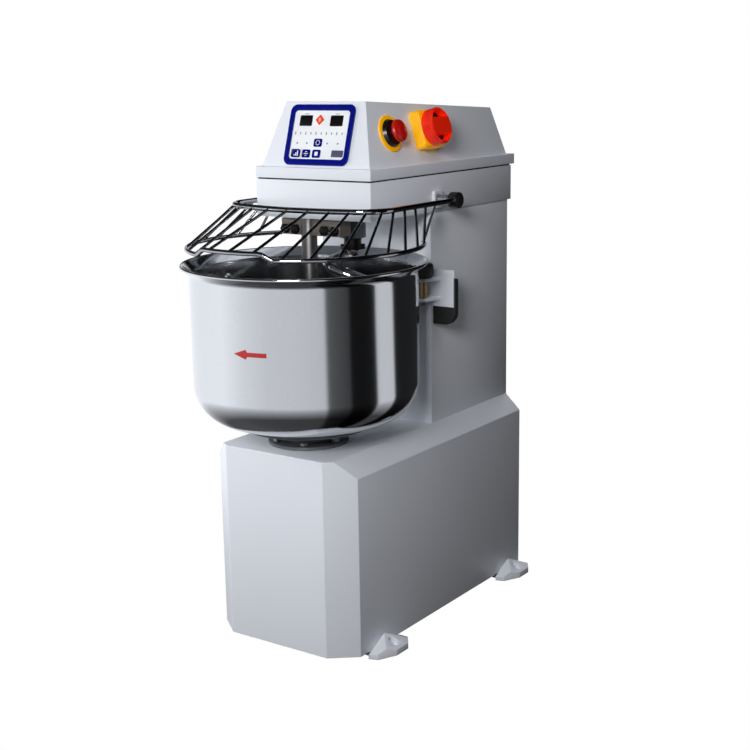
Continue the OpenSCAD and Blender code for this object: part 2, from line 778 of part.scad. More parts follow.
module guard_frame() at_bowl() color(steel) translate([0, 0, frame_z]) {
  both_sides() {
    translate([guard_half, hinge_y - cap_d / 2 + 4, 0]) rotate([90, 0, 0])
      cylinder(d = guard_tube_d, h = hinge_y - cap_d / 2 + 4 - frame_back);
    translate([guard_half - corner_r, frame_back, 0]) arc_tube(corner_r, front_span - 90, 0, guard_tube_d);
  }
  translate([0, front_c, 0]) arc_tube(front_r, -90 - front_span, -90 + front_span, guard_tube_d);
}

ring_end = 40;
step_low = 24;
step_high = 16;

ring_points = 130;
ring_sides = 12;

// Centre line of the lower ring at angle a from the bowl's right
function ring_at(a) =
  [guard_r * cos(a), ring_y + guard_r * sin(a),
   ring_z + guard_step * ease((step_low - abs(a + 90)) / (step_low - step_high))];

module guard_ring() at_bowl() color(steel) {
  sweep([
    for (i = [0:ring_points])
      let (a = -90 + (ring_end + 90) * (2 * i / ring_points - 1))
      ring_round(ring_at(a), unit(ring_at(a + 0.2) - ring_at(a - 0.2)), a, guard_ring_d, ring_sides)
  ]);
}

bar_count = 10;
bar_step = 13;
top_step = 15;

// Front-to-back place of the upper tube's centre line at distance x from the middle
function frame_y(x) =
  let (a = abs(x), split = front_r * sin(front_span))
  a <= split ? front_c - sqrt(front_r * front_r - a * a)
             : frame_back - sqrt(max(0, corner_r * corner_r - pow(a - guard_half + corner_r, 2)));

function bar_top(k) =
  k <= 6 ? [guard_half * sin(top_step * k), frame_y(guard_half * sin(top_step * k)), frame_z]
         : [guard_half, frame_back + 33 * (k - 6), frame_z];

function bar_foot(k) = ring_at(k * bar_step - 90);

module guard_bars() at_bowl() color(steel) {
  bar_between(bar_foot(0), bar_top(0), guard_bar_d);
  both_sides() for (k = [1:bar_count]) bar_between(bar_foot(k), bar_top(k), guard_bar_d);
}

// ---------------------------------------------------------------- breaker post

bracket_x = -11;
bracket_w = 128;
bracket_depth = 24;
bracket_h = 30;
clamp_t = 8;
post_bolt_d = 10;
post_bolt_depth = 18;
bracket_bolt_depth = 13;

module bracket_bolt_places() {
  for (x = [-1, 1]) translate([bracket_x + x * 38, post_y + bracket_depth - 9, 0]) children();
}

module post_bolt_places() {
  for (x = [-54, -32, 32, 54])
    translate([bracket_x + x, post_y, head_bottom_z - bracket_h + 10]) rotate([90, 0, 0]) children();
}

module post_bracket() at_bowl() color([0.55, 0.52, 0.48]) difference() {
  translate([bracket_x - bracket_w / 2, post_y, head_bottom_z - bracket_h])
    cube([bracket_w, bracket_depth, bracket_h]);
  translate([post_x, post_y, 0]) cylinder(d = post_d, h = machine_h);
  post_bolt_places() translate([0, 0, -post_bolt_depth]) cylinder(d = post_bolt_d, h = 40);
  bracket_bolt_places() translate([0, 0, head_bottom_z - bracket_bolt_depth])
    cylinder(d = frame_bolt_d, h = 40);
}

module post_clamp() at_bowl() color([0.55, 0.52, 0.48]) difference() {
  translate([bracket_x - bracket_w / 2, post_y - clamp_t, head_bottom_z - bracket_h])
    cube([bracket_w, clamp_t, bracket_h - 2]);
  translate([post_x, post_y, 0]) cylinder(d = post_d, h = machine_h);
  post_bolt_places() translate([0, 0, -post_bolt_depth]) cylinder(d = post_bolt_d, h = 40);
}

module post_bolts() at_bowl() color([0.16, 0.15, 0.15]) post_bolt_places() {
  translate([0, 0, -post_bolt_depth]) cylinder(d = post_bolt_d, h = post_bolt_depth + clamp_t);
  translate([0, 0, clamp_t]) hex_head(16, 6.4);
}

module breaker_post() at_bowl() color(steel) translate([post_x, post_y, 0]) {
  z0 = bowl_bottom_z + bowl_t + post_gap;
  translate([0, 0, z0 + 4]) cylinder(d = post_d, h = head_bottom_z - z0 - 4);
  translate([0, 0, z0]) cylinder(d1 = post_d - 8, d2 = post_d, h = 4);
}

// ---------------------------------------------------------------- hook drive

housing_screw_r = 34;
housing_screw_d = 6;
spindle_top = belt_z + belt_w / 2 + 9;
spindle_end = spindle_housing_bottom - 12;
bearing_low_z = spindle_housing_bottom + 4;
bearing_high_z = floor_z - 8;

module at_hook() {
  at_bowl() translate([hook_x, hook_y, 0]) children();
}

module housing_screw_places() {
  for (a = [45:90:315])
    translate([hook_x, hook_y, 0]) rotate(a) translate([housing_screw_r, 0, 0]) children();
}

module motor_bolt_places() {
  for (x = [-1, 1], y = [-1, 1])
    translate([motor_x + x * motor_bolt_half, motor_y + y * motor_bolt_half, 0]) children();
}

module turntable_bolt_places() {
  for (a = [0:60:300]) rotate(a) translate([housing_bolt_r, 0, 0]) children();
}

module spindle_housing() at_hook() color([0.62, 0.64, 0.66]) difference() {
  union() {
    translate([0, 0, spindle_housing_bottom])
      cylinder(d = spindle_housing_d, h = floor_z - spindle_housing_bottom);
    translate([0, 0, floor_z]) cylinder(d = 2 * housing_screw_r + 14, h = 6);
  }
  translate([0, 0, bearing_low_z]) cylinder(d = bearing_d, h = bearing_w);
  translate([0, 0, bearing_low_z]) cylinder(d = bearing_d - 8, h = 80);
  translate([0, 0, bearing_high_z]) cylinder(d = bearing_d, h = 40);
  translate([0, 0, spindle_housing_bottom - 1]) cylinder(d = shaft_d + 2, h = 20);
  translate([-hook_x, -hook_y, floor_z - 1]) housing_screw_places()
    cylinder(d = housing_screw_d + bolt_gap, h = 20);
}

module bearing(inner, outer, w) {
  difference() {
    cylinder(d = outer, h = w);
    translate([0, 0, -1]) cylinder(d = inner + 2 * run_gap, h = w + 2);
    for (z = [-1, w - 1]) translate([0, 0, z]) difference() {
      cylinder(d = outer - (outer - inner) * 0.3, h = 2);
      translate([0, 0, -1]) cylinder(d = inner + (outer - inner) * 0.3, h = 4);
    }
  }
}

module ball_bearings() color(steel) {
  at_hook() for (z = [bearing_low_z, bearing_high_z])
    translate([0, 0, z]) bearing(shaft_d, bearing_d, bearing_w);
  at_bowl() for (z = [bowl_bearing_low, bowl_bearing_high])
    translate([0, 0, z]) bearing(bowl_shaft_d, bowl_bearing_d, bowl_bearing_w);
}

module spindle() at_hook() color(steel) {
  translate([0, 0, spindle_end]) cylinder(d = shaft_d, h = spindle_top - spindle_end);
}

module spindle_pulley() at_hook() color([0.35, 0.36, 0.38]) translate([0, 0, belt_z]) difference() {
  union() {
    cylinder(r = pulley_r, h = belt_w, center = true);
    for (z = [-1, 1]) translate([0, 0, z * (belt_w / 2 + 0.75)])
      cylinder(r = pulley_r + 2, h = 1.5, center = true);
    cylinder(d = 44, h = belt_w + 6, center = true);
  }
  cylinder(d = shaft_d, h = 100, center = true);
  for (z = [-1, 1]) translate([0, 0, z * 14]) difference() {
    cylinder(r = pulley_r - 8, h = 20, center = true);
    cylinder(d = 44, h = 22, center = true);
  }
  for (a = [0:72:288]) rotate(a) translate([pulley_r * 0.58, 0, 0]) cylinder(r = 16, h = 100, center = true);
}

// Toothed wheel about z = 0 with its hub
module sprocket(teeth, bore, hub_d, hub_h) {
  step = 360 / teeth;
  root = pitch_r(teeth) - 3.2;
  tip = tip_r(teeth);
  difference() {
    union() {
      linear_extrude(sprocket_t, center = true) polygon([
        for (i = [0:teeth - 1], p = [[-0.32, root], [-0.12, tip], [0.12, tip], [0.32, root]])
          p[1] * [cos((i + p[0]) * step), sin((i + p[0]) * step)]
      ]);
      cylinder(d = hub_d, h = hub_h, center = true);
    }
    cylinder(d = bore, h = hub_h + 2, center = true);
  }
}

module spindle_sprocket() at_hook() color(dark_steel) translate([0, 0, head_chain_z])
  sprocket(small_teeth, shaft_d, 28, 12);

// ---------------------------------------------------------------- hook

coupling_h = 20;
coupling_d = 32;
coupling_top = spindle_housing_bottom - 2;
shank_end = coupling_top - 28;
pin_z = coupling_top - coupling_h + 5;
hook_pin_d = 10;
pin_angle = 35;
hook_bottom_z = bowl_bottom_z + bowl_t + hook_floor_gap + hook_d / 2;
hook_line_r = hook_sweep - hook_d / 2;
hook_start = 200;
hook_points = 72;
hook_sides = 16;

// Angle and centre line of the hook's bar, from the shank at t = 0 to its lower end at t = 1
function hook_angle(t) = hook_start + 360 * hook_turns * max(0, t - 0.05);

function hook_line(t) =
  let (
    a = hook_angle(t),
    r = hook_line_r * ease(t / 0.16) * (1 - 0.62 * ease((t - 0.82) / 0.18)),
    fall = 0.35 * t + 1.3 * ease(t / 2)
  )
  [r * cos(a), r * sin(a), shank_end - (shank_end - hook_bottom_z) * fall];

function hook_ring(i) =
  let (t = i / hook_points, dt = 0.25 / hook_points)
  ring_round(hook_line(t), i == 0 ? [0, 0, -1] : unit(hook_line(t + dt) - hook_line(t - dt)),
             hook_angle(t), hook_d, hook_sides);

// Straight shank and spiral, swept in one piece
module spiral_hook() at_hook() color(steel) sweep(concat(
  [ring_round([0, 0, spindle_end], [0, 0, -1], hook_start, hook_d, hook_sides)],
  [for (i = [0:hook_points]) hook_ring(i)]
));

module hook_coupling() at_hook() color(dark_steel) difference() {
  translate([0, 0, coupling_top - coupling_h]) cylinder(d = coupling_d, h = coupling_h);
  translate([0, 0, spindle_end]) cylinder(d = shaft_d, h = 40);
  translate([0, 0, spindle_end - 40]) cylinder(d = hook_d, h = 40);
  translate([0, 0, pin_z]) rotate([0, 90, pin_angle]) cylinder(d = hook_pin_d, h = 80, center = true);
}

module hook_pin() at_hook() color(dark_steel) translate([0, 0, pin_z]) rotate([0, 90, pin_angle])
  cylinder(d = hook_pin_d, h = coupling_d + 12, center = true);

// ---------------------------------------------------------------- motor and belt

motor_shaft_d = 14;
motor_plate = 130;
motor_bolt_half = 54;
motor_plate_t = head_bottom_z - motor_top;

module motor() at_bowl() color([0.22, 0.35, 0.50]) translate([motor_x, motor_y, 0]) difference() {
  union() {
    translate([0, 0, motor_top - motor_len]) cylinder(r = motor_r, h = motor_len);
    for (a = [0:15:345]) rotate(a)
      translate([motor_r - 2, -1.5, motor_top - motor_len + 50]) cube([6, 3, motor_len - 70]);
    translate([-30, -motor_r - 26, motor_top - motor_len * 0.6]) cube([60, 40, 70]);
  }
  translate([0, 0, motor_top - 40]) cylinder(d = motor_shaft_d + 2 * run_gap, h = 60);
  for (a = [0:30:330]) rotate(a)
    translate([motor_r * 0.6, 0, motor_top - motor_len - 1]) cylinder(d = 12, h = 12);
}

module motor_mount_plate() at_bowl() color(steel) translate([motor_x, motor_y, motor_top]) difference() {
  translate([0, 0, motor_plate_t / 2]) cube([motor_plate, motor_plate, motor_plate_t], center = true);
  translate([0, 0, -1]) cylinder(d = 50, h = motor_plate_t + 2);
  translate([-motor_x, -motor_y, -1]) motor_bolt_places()
    cylinder(d = frame_bolt_d + bolt_gap, h = motor_plate_t + 2);
}

module motor_pulley() at_bowl() color(dark_steel) translate([motor_x, motor_y, 0]) {
  translate([0, 0, motor_top - 38]) cylinder(d = motor_shaft_d, h = belt_z + belt_w / 2 + 6 - motor_top + 38);
  translate([0, 0, belt_z]) cylinder(r = motor_pulley_r, h = belt_w, center = true);
  for (z = [-1, 1]) translate([0, 0, belt_z + z * (belt_w / 2 + 0.75)])
    cylinder(r = motor_pulley_r + 3, h = 1.5, center = true);
}

// Filled outline of a belt round two wheels
module loop_outline(p, r, q, s) {
  hull() {
    translate(p) circle(r);
    translate(q) circle(s, $fn = 48);
  }
}

// Closed band between inward and outward distances from the wheels' radii
module loop_band(p, r, q, s, inner, outer) {
  difference() {
    loop_outline(p, r + outer, q, s + outer);
    loop_outline(p, r + inner, q, s + inner);
  }
}

module drive_belt() at_bowl() color(rubber) translate([0, 0, belt_z - belt_w / 2 + 0.5])
  linear_extrude(belt_w - 1)
    loop_band([hook_x, hook_y], pulley_r, [motor_x, motor_y], motor_pulley_r, fit_gap, fit_gap + 4);

// ---------------------------------------------------------------- chain drive

chain_plate_t = 1.2;
chain_half = 4.1;
chain_roller_d = 6;

// Two rows of side plates, joined by rollers and pins where the chain runs free
module chain(p, teeth_p, q, teeth_q) {
  r = pitch_r(teeth_p);
  s = pitch_r(teeth_q);
  v = q - p;
  a = atan2(v[1], v[0]);
  b = acos((r - s) / norm(v));
  run = sqrt(norm(v) * norm(v) - (r - s) * (r - s));
  start = free_start(teeth_p);
  finish = run - free_start(teeth_q);
  for (z = [-1, 1]) translate([0, 0, z * (sprocket_t / 2 + 0.4 + chain_plate_t / 2) - chain_plate_t / 2])
    linear_extrude(chain_plate_t) loop_band(p, r, q, s, -chain_half, chain_half);
  for (side = [-1, 1], d = [start:chain_pitch:finish])
    translate(p + r * [cos(a + side * b), sin(a + side * b)]
              + d * [cos(a + side * (b - 90)), sin(a + side * (b - 90))]) {
      cylinder(d = chain_roller_d, h = sprocket_t + 0.8 + chain_plate_t, center = true, $fn = 12);
    }
}

// Distance along the run before a roller clears the wheel's teeth
function free_start(teeth) = sqrt(pow(tip_r(teeth) + chain_roller_d / 2 + 1, 2) - pow(pitch_r(teeth), 2));

module head_chain() at_bowl() color(dark_steel) translate([0, 0, head_chain_z])
  chain([counter_x, counter_y], middle_teeth, [hook_x, hook_y], small_teeth);

module base_chain() at_bowl() color(dark_steel) translate([0, 0, base_chain_z])
  chain([0, 0], bowl_teeth, [counter_x, counter_y], small_teeth);

module at_counter() {
  at_bowl() translate([counter_x, counter_y, 0]) children();
}

module countershaft() at_counter() color(steel) translate([0, 0, bridge_z + 2])
  cylinder(d = shaft_d, h = head_chain_z + 8 - bridge_z - 2);

module countershaft_sprockets() at_counter() color(dark_steel) {
  translate([0, 0, head_chain_z]) sprocket(middle_teeth, shaft_d, 44, 14);
  translate([0, 0, base_chain_z]) sprocket(small_teeth, shaft_d, 28, 16);
}

module flange_bearing() {
  difference() {
    union() {
      cylinder(r = 33, h = 6);
      cylinder(d = 50, h = 20);
    }
    translate([0, 0, -1]) cylinder(d = shaft_d + 2 * run_gap, h = 30);
  }
}

module countershaft_bearings() at_counter() color([0.20, 0.40, 0.30]) {
  translate([0, 0, head_bottom_z]) mirror([0, 0, 1]) flange_bearing();
  translate([0, 0, bridge_z + 6]) flange_bearing();
}

module chassis_bridge() at_bowl() color([0.50, 0.52, 0.54]) difference() {
  union() {
    translate([-base_half + sheet_t, counter_y - 38, bridge_z]) cube([base_w - 2 * sheet_t, 76, 6]);
    for (y = [counter_y - 38, counter_y + 34])
      translate([-base_half + sheet_t, y, bridge_z - 24]) cube([base_w - 2 * sheet_t, 4, 25]);
  }
  translate([counter_x, counter_y, bridge_z - 1]) cylinder(d = shaft_d + 6, h = 20);
}

// ---------------------------------------------------------------- bowl

bowl_bearing_d = 72;
bowl_bearing_w = 17;
bowl_bearing_low = housing_bottom + 5;
bowl_bearing_high = housing_top - 5 - bowl_bearing_w;
shaft_flange_t = 8;
shaft_top = bowl_bottom_z - turntable_t;

module turntable_housing() at_bowl() color([0.40, 0.42, 0.44]) difference() {
  union() {
    translate([0, 0, housing_bottom]) cylinder(d = housing_tube_d, h = housing_top - housing_bottom);
    translate([0, 0, base_top_z]) cylinder(r = housing_bolt_r + 12, h = 6);
  }
  translate([0, 0, housing_bottom - 1]) cylinder(d = bowl_bearing_d - 12, h = 200);
  translate([0, 0, bowl_bearing_low]) cylinder(d = bowl_bearing_d, h = bowl_bearing_w);
  translate([0, 0, bowl_bearing_high]) cylinder(d = bowl_bearing_d, h = 60);
  turntable_bolt_places() translate([0, 0, base_top_z - 1]) cylinder(d = frame_bolt_d + bolt_gap, h = 20);
}

module bowl_shaft() at_bowl() color(steel) {
  translate([0, 0, base_chain_z - 20]) cylinder(d = bowl_shaft_d, h = shaft_top - base_chain_z + 20);
  translate([0, 0, shaft_top - shaft_flange_t]) cylinder(d = 110, h = shaft_flange_t);
}

module bowl_sprocket() at_bowl() color(dark_steel) translate([0, 0, base_chain_z])
  sprocket(bowl_teeth, bowl_shaft_d, 64, 24);

module turntable() at_bowl() color([0.55, 0.57, 0.60]) translate([0, 0, shaft_top]) rotate_extrude()
  polygon([
    [0, 0], [turntable_r - 3, 0], [turntable_r, 3], [turntable_r, turntable_t - 1],
    [turntable_r - 1, turntable_t], [0, turntable_t]
  ]);

// Half outline of the bowl body, pulled in by i
module bowl_outline(i) {
  r = bowl_r - i;
  k = bowl_knuckle - i;
  z0 = bowl_bottom_z + i;
  translate([0, z0]) square([r - k, bowl_rim_z - z0]);
  translate([0, z0 + k]) square([r, bowl_rim_z - z0 - k]);
  intersection() {
    translate([r - k, z0 + k]) circle(k);
    translate([0, z0]) square([r, k]);
  }
}

module bowl() at_bowl() color([0.80, 0.81, 0.82]) rotate_extrude($fn = 180) {
  lip_z = bowl_rim_z - lip_h;
  difference() {
    bowl_outline(0);
    bowl_outline(bowl_t);
    translate([0, lip_z]) square([2 * bowl_r, 2 * lip_h]);
  }
  polygon([
    [bowl_r - bowl_t, lip_z - 0.01], [bowl_r, lip_z - 0.01],
    [bowl_r + lip_out, bowl_rim_z - bead_d / 2 - 1], [bowl_r + lip_out - 1, bowl_rim_z - bead_d / 2 + 1.4]
  ]);
  translate([bowl_r + lip_out, bowl_rim_z - bead_d / 2]) circle(d = bead_d, $fn = 32);
}

// ---------------------------------------------------------------- guide rollers

bracket_face_w = 50;
bracket_face_t = 3;
bracket_face_y = column_front - 3;
bracket_top_z = roller_top_z - 26;
bracket_bottom_z = roller_top_z - 81;
buffer_drop = 34;
arm_t = 6;
arm_top_z = roller_top_z - roller_h - arm_t - 1;
arm_low_z = arm_top_z - 36;

// One arm from the bracket's face to the roller's axle
module roller_arm() {
  x0 = column_half;
  linear_extrude(arm_t) difference() {
    union() {
      translate([roller_x, roller_y]) circle(14);
      polygon([
        [roller_x - 14, roller_y], [roller_x + 14, roller_y],
        [x0 + 22, bracket_face_y + 0.5], [x0 - 8, bracket_face_y + 0.5]
      ]);
    }
    translate([roller_x, roller_y]) circle(d = roller_pin_d);
  }
}

module roller_brackets() at_bowl() color([0.93, 0.94, 0.95]) both_sides() {
  translate([column_half, bracket_face_y, bracket_bottom_z])
    cube([bracket_face_w, bracket_face_t, bracket_top_z - bracket_bottom_z]);
  translate([column_half, bracket_face_y + bracket_face_t, bracket_bottom_z])
    cube([4, 44, bracket_top_z - bracket_bottom_z - 20]);
  rotate([90, 0, 90]) translate([bracket_face_y, bracket_top_z, column_half])
    linear_extrude(bracket_face_w + 3)
      polygon([[0, 0], [3, 0], [0, 13], [-3, 13]]);
  translate([0, 0, arm_top_z]) roller_arm();
  translate([0, 0, arm_low_z]) roller_arm();
}

module roller_buffers() at_bowl() color(rubber) both_sides()
  translate([column_half + 4, bracket_face_y + bracket_face_t + 12, 0]) rotate([90, 0, 0]) linear_extrude(12)
    difference() {
      z0 = bracket_bottom_z - buffer_drop;
      translate([0, z0]) square([bracket_face_w - 2, bracket_top_z - z0 - 4]);
      translate([bracket_face_w - 26, z0]) difference() {
        square(24);
        translate([0, 24]) circle(24);
      }
    }

module roller_pins() at_bowl() color(steel) both_sides() translate([roller_x, roller_y, 0]) {
  translate([0, 0, arm_low_z - 3]) cylinder(d = roller_pin_d, h = roller_top_z + 4 - arm_low_z);
  translate([0, 0, arm_low_z + arm_t]) cylinder(d = 22, h = arm_top_z - arm_low_z - arm_t);
  translate([0, 0, arm_low_z - 8]) cylinder(d = 17, h = 8, $fn = 6);
  translate([0, 0, roller_top_z + 0.5]) cylinder(d = 16, h = 4);
}

module guide_roller() {
  translate([0, 0, roller_top_z - roller_h]) rotate_extrude() difference() {
    polygon([
      [roller_pin_d / 2 + run_gap, 0], [roller_r - 3, 0], [roller_r, 3], [roller_r, roller_h - 3],
      [roller_r - 3, roller_h], [roller_pin_d / 2 + run_gap, roller_h]
    ]);
  }
}

module guide_roller_right() at_bowl() color(rubber) translate([roller_x, roller_y, 0]) guide_roller();

module guide_roller_left() at_bowl() color(rubber) translate([-roller_x, roller_y, 0]) guide_roller();

// ---------------------------------------------------------------- electrics

gland_x = -70;
gland_z = base_cover_z0 + 30;
gland_thread_d = 20;
gland_hole_d = 10;
floor_plate_z = base_bottom_z + plate_t;

// Tray, open towards the rear cover, with two contactors and a terminal row on its back wall
module electrical_box() at_bowl() color([0.70, 0.72, 0.74]) translate([0, base_back - 110, floor_plate_z]) {
  difference() {
    translate([-100, 0, 0]) cube([200, 76, 160]);
    translate([-98, 2, 2]) cube([196, 80, 156]);
  }
  for (x = [-70, -15]) translate([x, 1, 70]) cube([45, 50, 70]);
  translate([-80, 1, 20]) cube([150, 30, 24]);
}

module cable_gland() at_bowl() color([0.15, 0.15, 0.16])
  translate([gland_x, base_back + cover_t, gland_z]) rotate([-90, 0, 0]) difference() {
    union() {
      hex_head(26, 6);
      translate([0, 0, 6]) cylinder(d1 = 24, d2 = 18, h = 11);
      translate([0, 0, -14]) cylinder(d = gland_thread_d, h = 15);
      translate([0, 0, -cover_t - sheet_t - 6]) cylinder(d = 30, h = 6, $fn = 6);
    }
    translate([0, 0, -20]) cylinder(d = gland_hole_d, h = 60);
  }

// ---------------------------------------------------------------- every node, by name

base_shell();
base_floor_plate();
feet();
foot_bolts();
rear_covers();
cover_screws();
column_shell();
frame_bolts();
head_box();
lid();
lid_gasket();
panel_frame();
panel_face();
panel_displays();
panel_keys();
stop_plate();
stop_collar();
stop_button();
switch_block();
switch_knob();
guard_hinge_brackets();
guard_pins();
guard_end_caps();
guard_frame();
guard_ring();
guard_bars();
post_bracket();
post_clamp();
post_bolts();
breaker_post();
spindle_housing();
spindle();
spindle_pulley();
spindle_sprocket();
hook_coupling();
hook_pin();
spiral_hook();
motor();
motor_mount_plate();
motor_pulley();
drive_belt();
countershaft();
countershaft_sprockets();
countershaft_bearings();
chassis_bridge();
head_chain();
base_chain();
ball_bearings();
turntable_housing();
bowl_shaft();
bowl_sprocket();
turntable();
bowl();
roller_brackets();
roller_buffers();
roller_pins();
guide_roller_right();
guide_roller_left();
electrical_box();
cable_gland();
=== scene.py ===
"""Looks of a floor-standing spiral dough mixer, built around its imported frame.

Every sub-assembly is a class that holds its own sizes in metres, builds its pieces and dresses them.
Places come from the frame's boxes, so a piece sits where the frame says.
"""

from __future__ import annotations

import json
import logging
import math
from contextlib import contextmanager
from dataclasses import dataclass, field
from enum import Enum
from typing import Callable, Iterator, Sequence

import bpy
from mathutils import Matrix, Vector

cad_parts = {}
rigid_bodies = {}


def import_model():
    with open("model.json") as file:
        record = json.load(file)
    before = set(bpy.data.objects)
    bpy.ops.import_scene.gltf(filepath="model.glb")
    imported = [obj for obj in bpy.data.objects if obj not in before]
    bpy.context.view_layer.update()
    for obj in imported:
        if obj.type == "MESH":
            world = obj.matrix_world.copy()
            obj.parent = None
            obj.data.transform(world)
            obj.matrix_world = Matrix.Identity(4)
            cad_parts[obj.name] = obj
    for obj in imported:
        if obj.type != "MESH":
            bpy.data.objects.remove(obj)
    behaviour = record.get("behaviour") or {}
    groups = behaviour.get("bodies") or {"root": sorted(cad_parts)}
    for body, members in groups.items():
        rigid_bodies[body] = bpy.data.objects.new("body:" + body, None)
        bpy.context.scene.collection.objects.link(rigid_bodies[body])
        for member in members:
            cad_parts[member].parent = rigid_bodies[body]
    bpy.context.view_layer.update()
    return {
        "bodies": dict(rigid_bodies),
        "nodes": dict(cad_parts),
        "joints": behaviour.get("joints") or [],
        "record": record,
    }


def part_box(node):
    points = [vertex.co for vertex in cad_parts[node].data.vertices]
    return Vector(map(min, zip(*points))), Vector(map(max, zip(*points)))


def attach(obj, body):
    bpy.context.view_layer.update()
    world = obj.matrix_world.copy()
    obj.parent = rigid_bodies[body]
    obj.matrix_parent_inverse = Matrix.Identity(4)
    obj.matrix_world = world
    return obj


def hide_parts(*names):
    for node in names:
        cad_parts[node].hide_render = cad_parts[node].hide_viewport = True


LOG = logging.getLogger("dough_mixer")
MM = 0.001
HAIR = 0.1 * MM
FRAME_WELD = 0.02 * MM
OWN_WELD = 0.005 * MM
FULL_TURN = 2 * math.pi
NOISE_ROUGHNESS = 0.55
COAT_ROUGHNESS = 0.06
GLOSS_STOPS = (0.3, 0.7)
WHITE = (1, 1, 1, 1)
STUDIO_WHITE = "F3F5FA"

Point = tuple[float, float, float]
Mesh = bpy.types.Object
Tree = bpy.types.NodeTree
Test = Callable[[Vector], bool]


class Part(Enum):
    """What an edit picks: corners, edges or faces."""

    CORNERS = "VERT"
    EDGES = "EDGE"
    FACES = "FACE"


# ------------------------------------------------------------------ colour and node helpers


def linear(code: str) -> tuple[float, float, float, float]:
    """Turns an sRGB hex code into a linear colour.

    Args:
        code: six hex digits, such as "E6E9EE".

    Returns:
        Red, green, blue and an alpha of 1.
    """
    channels = [int(code[i : i + 2], 16) / 255 for i in (0, 2, 4)]
    curve = [c / 12.92 if c <= 0.04045 else ((c + 0.055) / 1.055) ** 2.4 for c in channels]
    return (*curve, 1.0)


def shaded(code: str, share: float) -> tuple[float, float, float, float]:
    """Returns a linear colour made lighter, or darker with a negative share."""
    red, green, blue, alpha = linear(code)
    return (*(min(1.0, c * (1 + share)) for c in (red, green, blue)), alpha)


def add_node(tree: Tree, kind: str, settings: dict | None = None, links: dict | None = None):
    """Adds one shader node.

    Args:
        tree: the node tree.
        kind: the node's type name without "ShaderNode".
        settings: socket or property names with their values.
        links: socket names with the output that feeds each.

    Returns:
        The new node.
    """
    node = tree.nodes.new("ShaderNode" + kind)
    for key, value in (settings or {}).items():
        if isinstance(key, int) or key in node.inputs:
            node.inputs[key].default_value = value
        else:
            setattr(node, key, value)
    for key, output in (links or {}).items():
        tree.links.new(output, node.inputs[key])
    return node


def ramp(tree: Tree, source, stops: Sequence[tuple[float, tuple]]):
    """Adds a colour ramp over a value.

    Args:
        tree: the node tree.
        source: the output that drives the ramp.
        stops: place and linear colour of each stop, in order.

    Returns:
        The ramp's colour output.
    """
    node = add_node(tree, "ValToRGB", links={"Fac": source})
    bar = node.color_ramp.elements
    while len(bar) < len(stops):
        bar.new(0.5)
    for element, (place, colour) in zip(bar, stops):
        element.position = place
        element.color = colour
    return node.outputs["Color"]


def remap(tree: Tree, value, start: tuple[float, float], end: tuple):
    """Maps a value from one range to another.

    Args:
        tree: the node tree.
        value: the output to map.
        start: lowest and highest value that comes in.
        end: what they become. The second may be another node's output.

    Returns:
        The mapped output.
    """
    settings = {"From Min": start[0], "From Max": start[1], "To Min": end[0]}
    links = {"Value": value}
    (links if isinstance(end[1], bpy.types.NodeSocket) else settings)["To Max"] = end[1]
    return add_node(tree, "MapRange", settings, links).outputs["Result"]


# ------------------------------------------------------------------ finishes


@dataclass(frozen=True)
class Finish:
    """A surface: what it is made of and how it was made.

    Sizes are in millimetres. A pattern's stretch multiplies its fineness along X, Y and Z. Glow is
    painted light: the surface gives off light in its own colour, so it looks brighter than the lamps
    make it. A drawn surface varies with its grain, and any other with its clouds.
    """

    name: str
    colour: str
    roughness: float
    metallic: float = 0.0
    ior: float = 1.5
    coat: float = 0.0
    glow: float = 0.0
    colour_spread: float = 0.02
    roughness_spread: float = 0.05
    cloud_mm: float = 90.0
    grain_mm: float = 1.5
    grain_depth_mm: float = 0.01
    stretch: Point = (1.0, 1.0, 1.0)
    drawn: bool = False
    colour_stops: tuple[float, float] = (0.3, 0.7)

    def pattern(self, tree: Tree, size_mm: float, detail: float, stretch: Point):
        """Adds a noise in object space.

        Args:
            tree: the node tree.
            size_mm: size of one patch.
            detail: octaves of finer noise.
            stretch: how much finer the noise is along each axis.

        Returns:
            The noise's value output.
        """
        place = add_node(tree, "TexCoord").outputs["Object"]
        mapped = add_node(tree, "Mapping", {"Scale": stretch}, {"Vector": place})
        noise = add_node(
            tree,
            "TexNoise",
            {"Scale": 1 / (size_mm * MM), "Detail": detail, "Roughness": NOISE_ROUGHNESS},
            {"Vector": mapped.outputs["Vector"]},
        )
        return noise.outputs["Fac"]

    def build(self) -> bpy.types.Material:
        """Builds the material, with clouded colour, clouded gloss and a fine relief."""
        material = bpy.data.materials.new(self.name)
        material.use_nodes = True
        tree = material.node_tree
        shader = tree.nodes["Principled BSDF"]
        cloud = self.pattern(tree, self.cloud_mm, 3.0, (1.0, 1.0, 1.0))
        grain = self.pattern(tree, self.grain_mm, 4.0, self.stretch)
        varies = grain if self.drawn else cloud
        shades = (shaded(self.colour, share) for share in (-self.colour_spread, self.colour_spread))
        tree.links.new(ramp(tree, varies, list(zip(self.colour_stops, shades))), shader.inputs["Base Color"])
        spread = self.roughness_spread
        glossy = (max(0.02, self.roughness - spread), self.roughness + spread)
        tree.links.new(remap(tree, varies, GLOSS_STOPS, glossy), shader.inputs["Roughness"])
        relief = add_node(
            tree,
            "Bump",
            {"Strength": 1.0, "Distance": self.grain_depth_mm * MM},
            {"Height": grain},
        )
        tree.links.new(relief.outputs["Normal"], shader.inputs["Normal"])
        shader.inputs["Metallic"].default_value = self.metallic
        if not self.metallic:
            shader.inputs["IOR"].default_value = self.ior
        shader.inputs["Coat Weight"].default_value = self.coat
        shader.inputs["Coat Roughness"].default_value = COAT_ROUGHNESS
        # Emission in the finish's own colour, set by glow: painted light that brightens the part beyond what
        # the lamps give.
        shader.inputs["Emission Color"].default_value = linear(self.colour)
        shader.inputs["Emission Strength"].default_value = self.glow
        return material


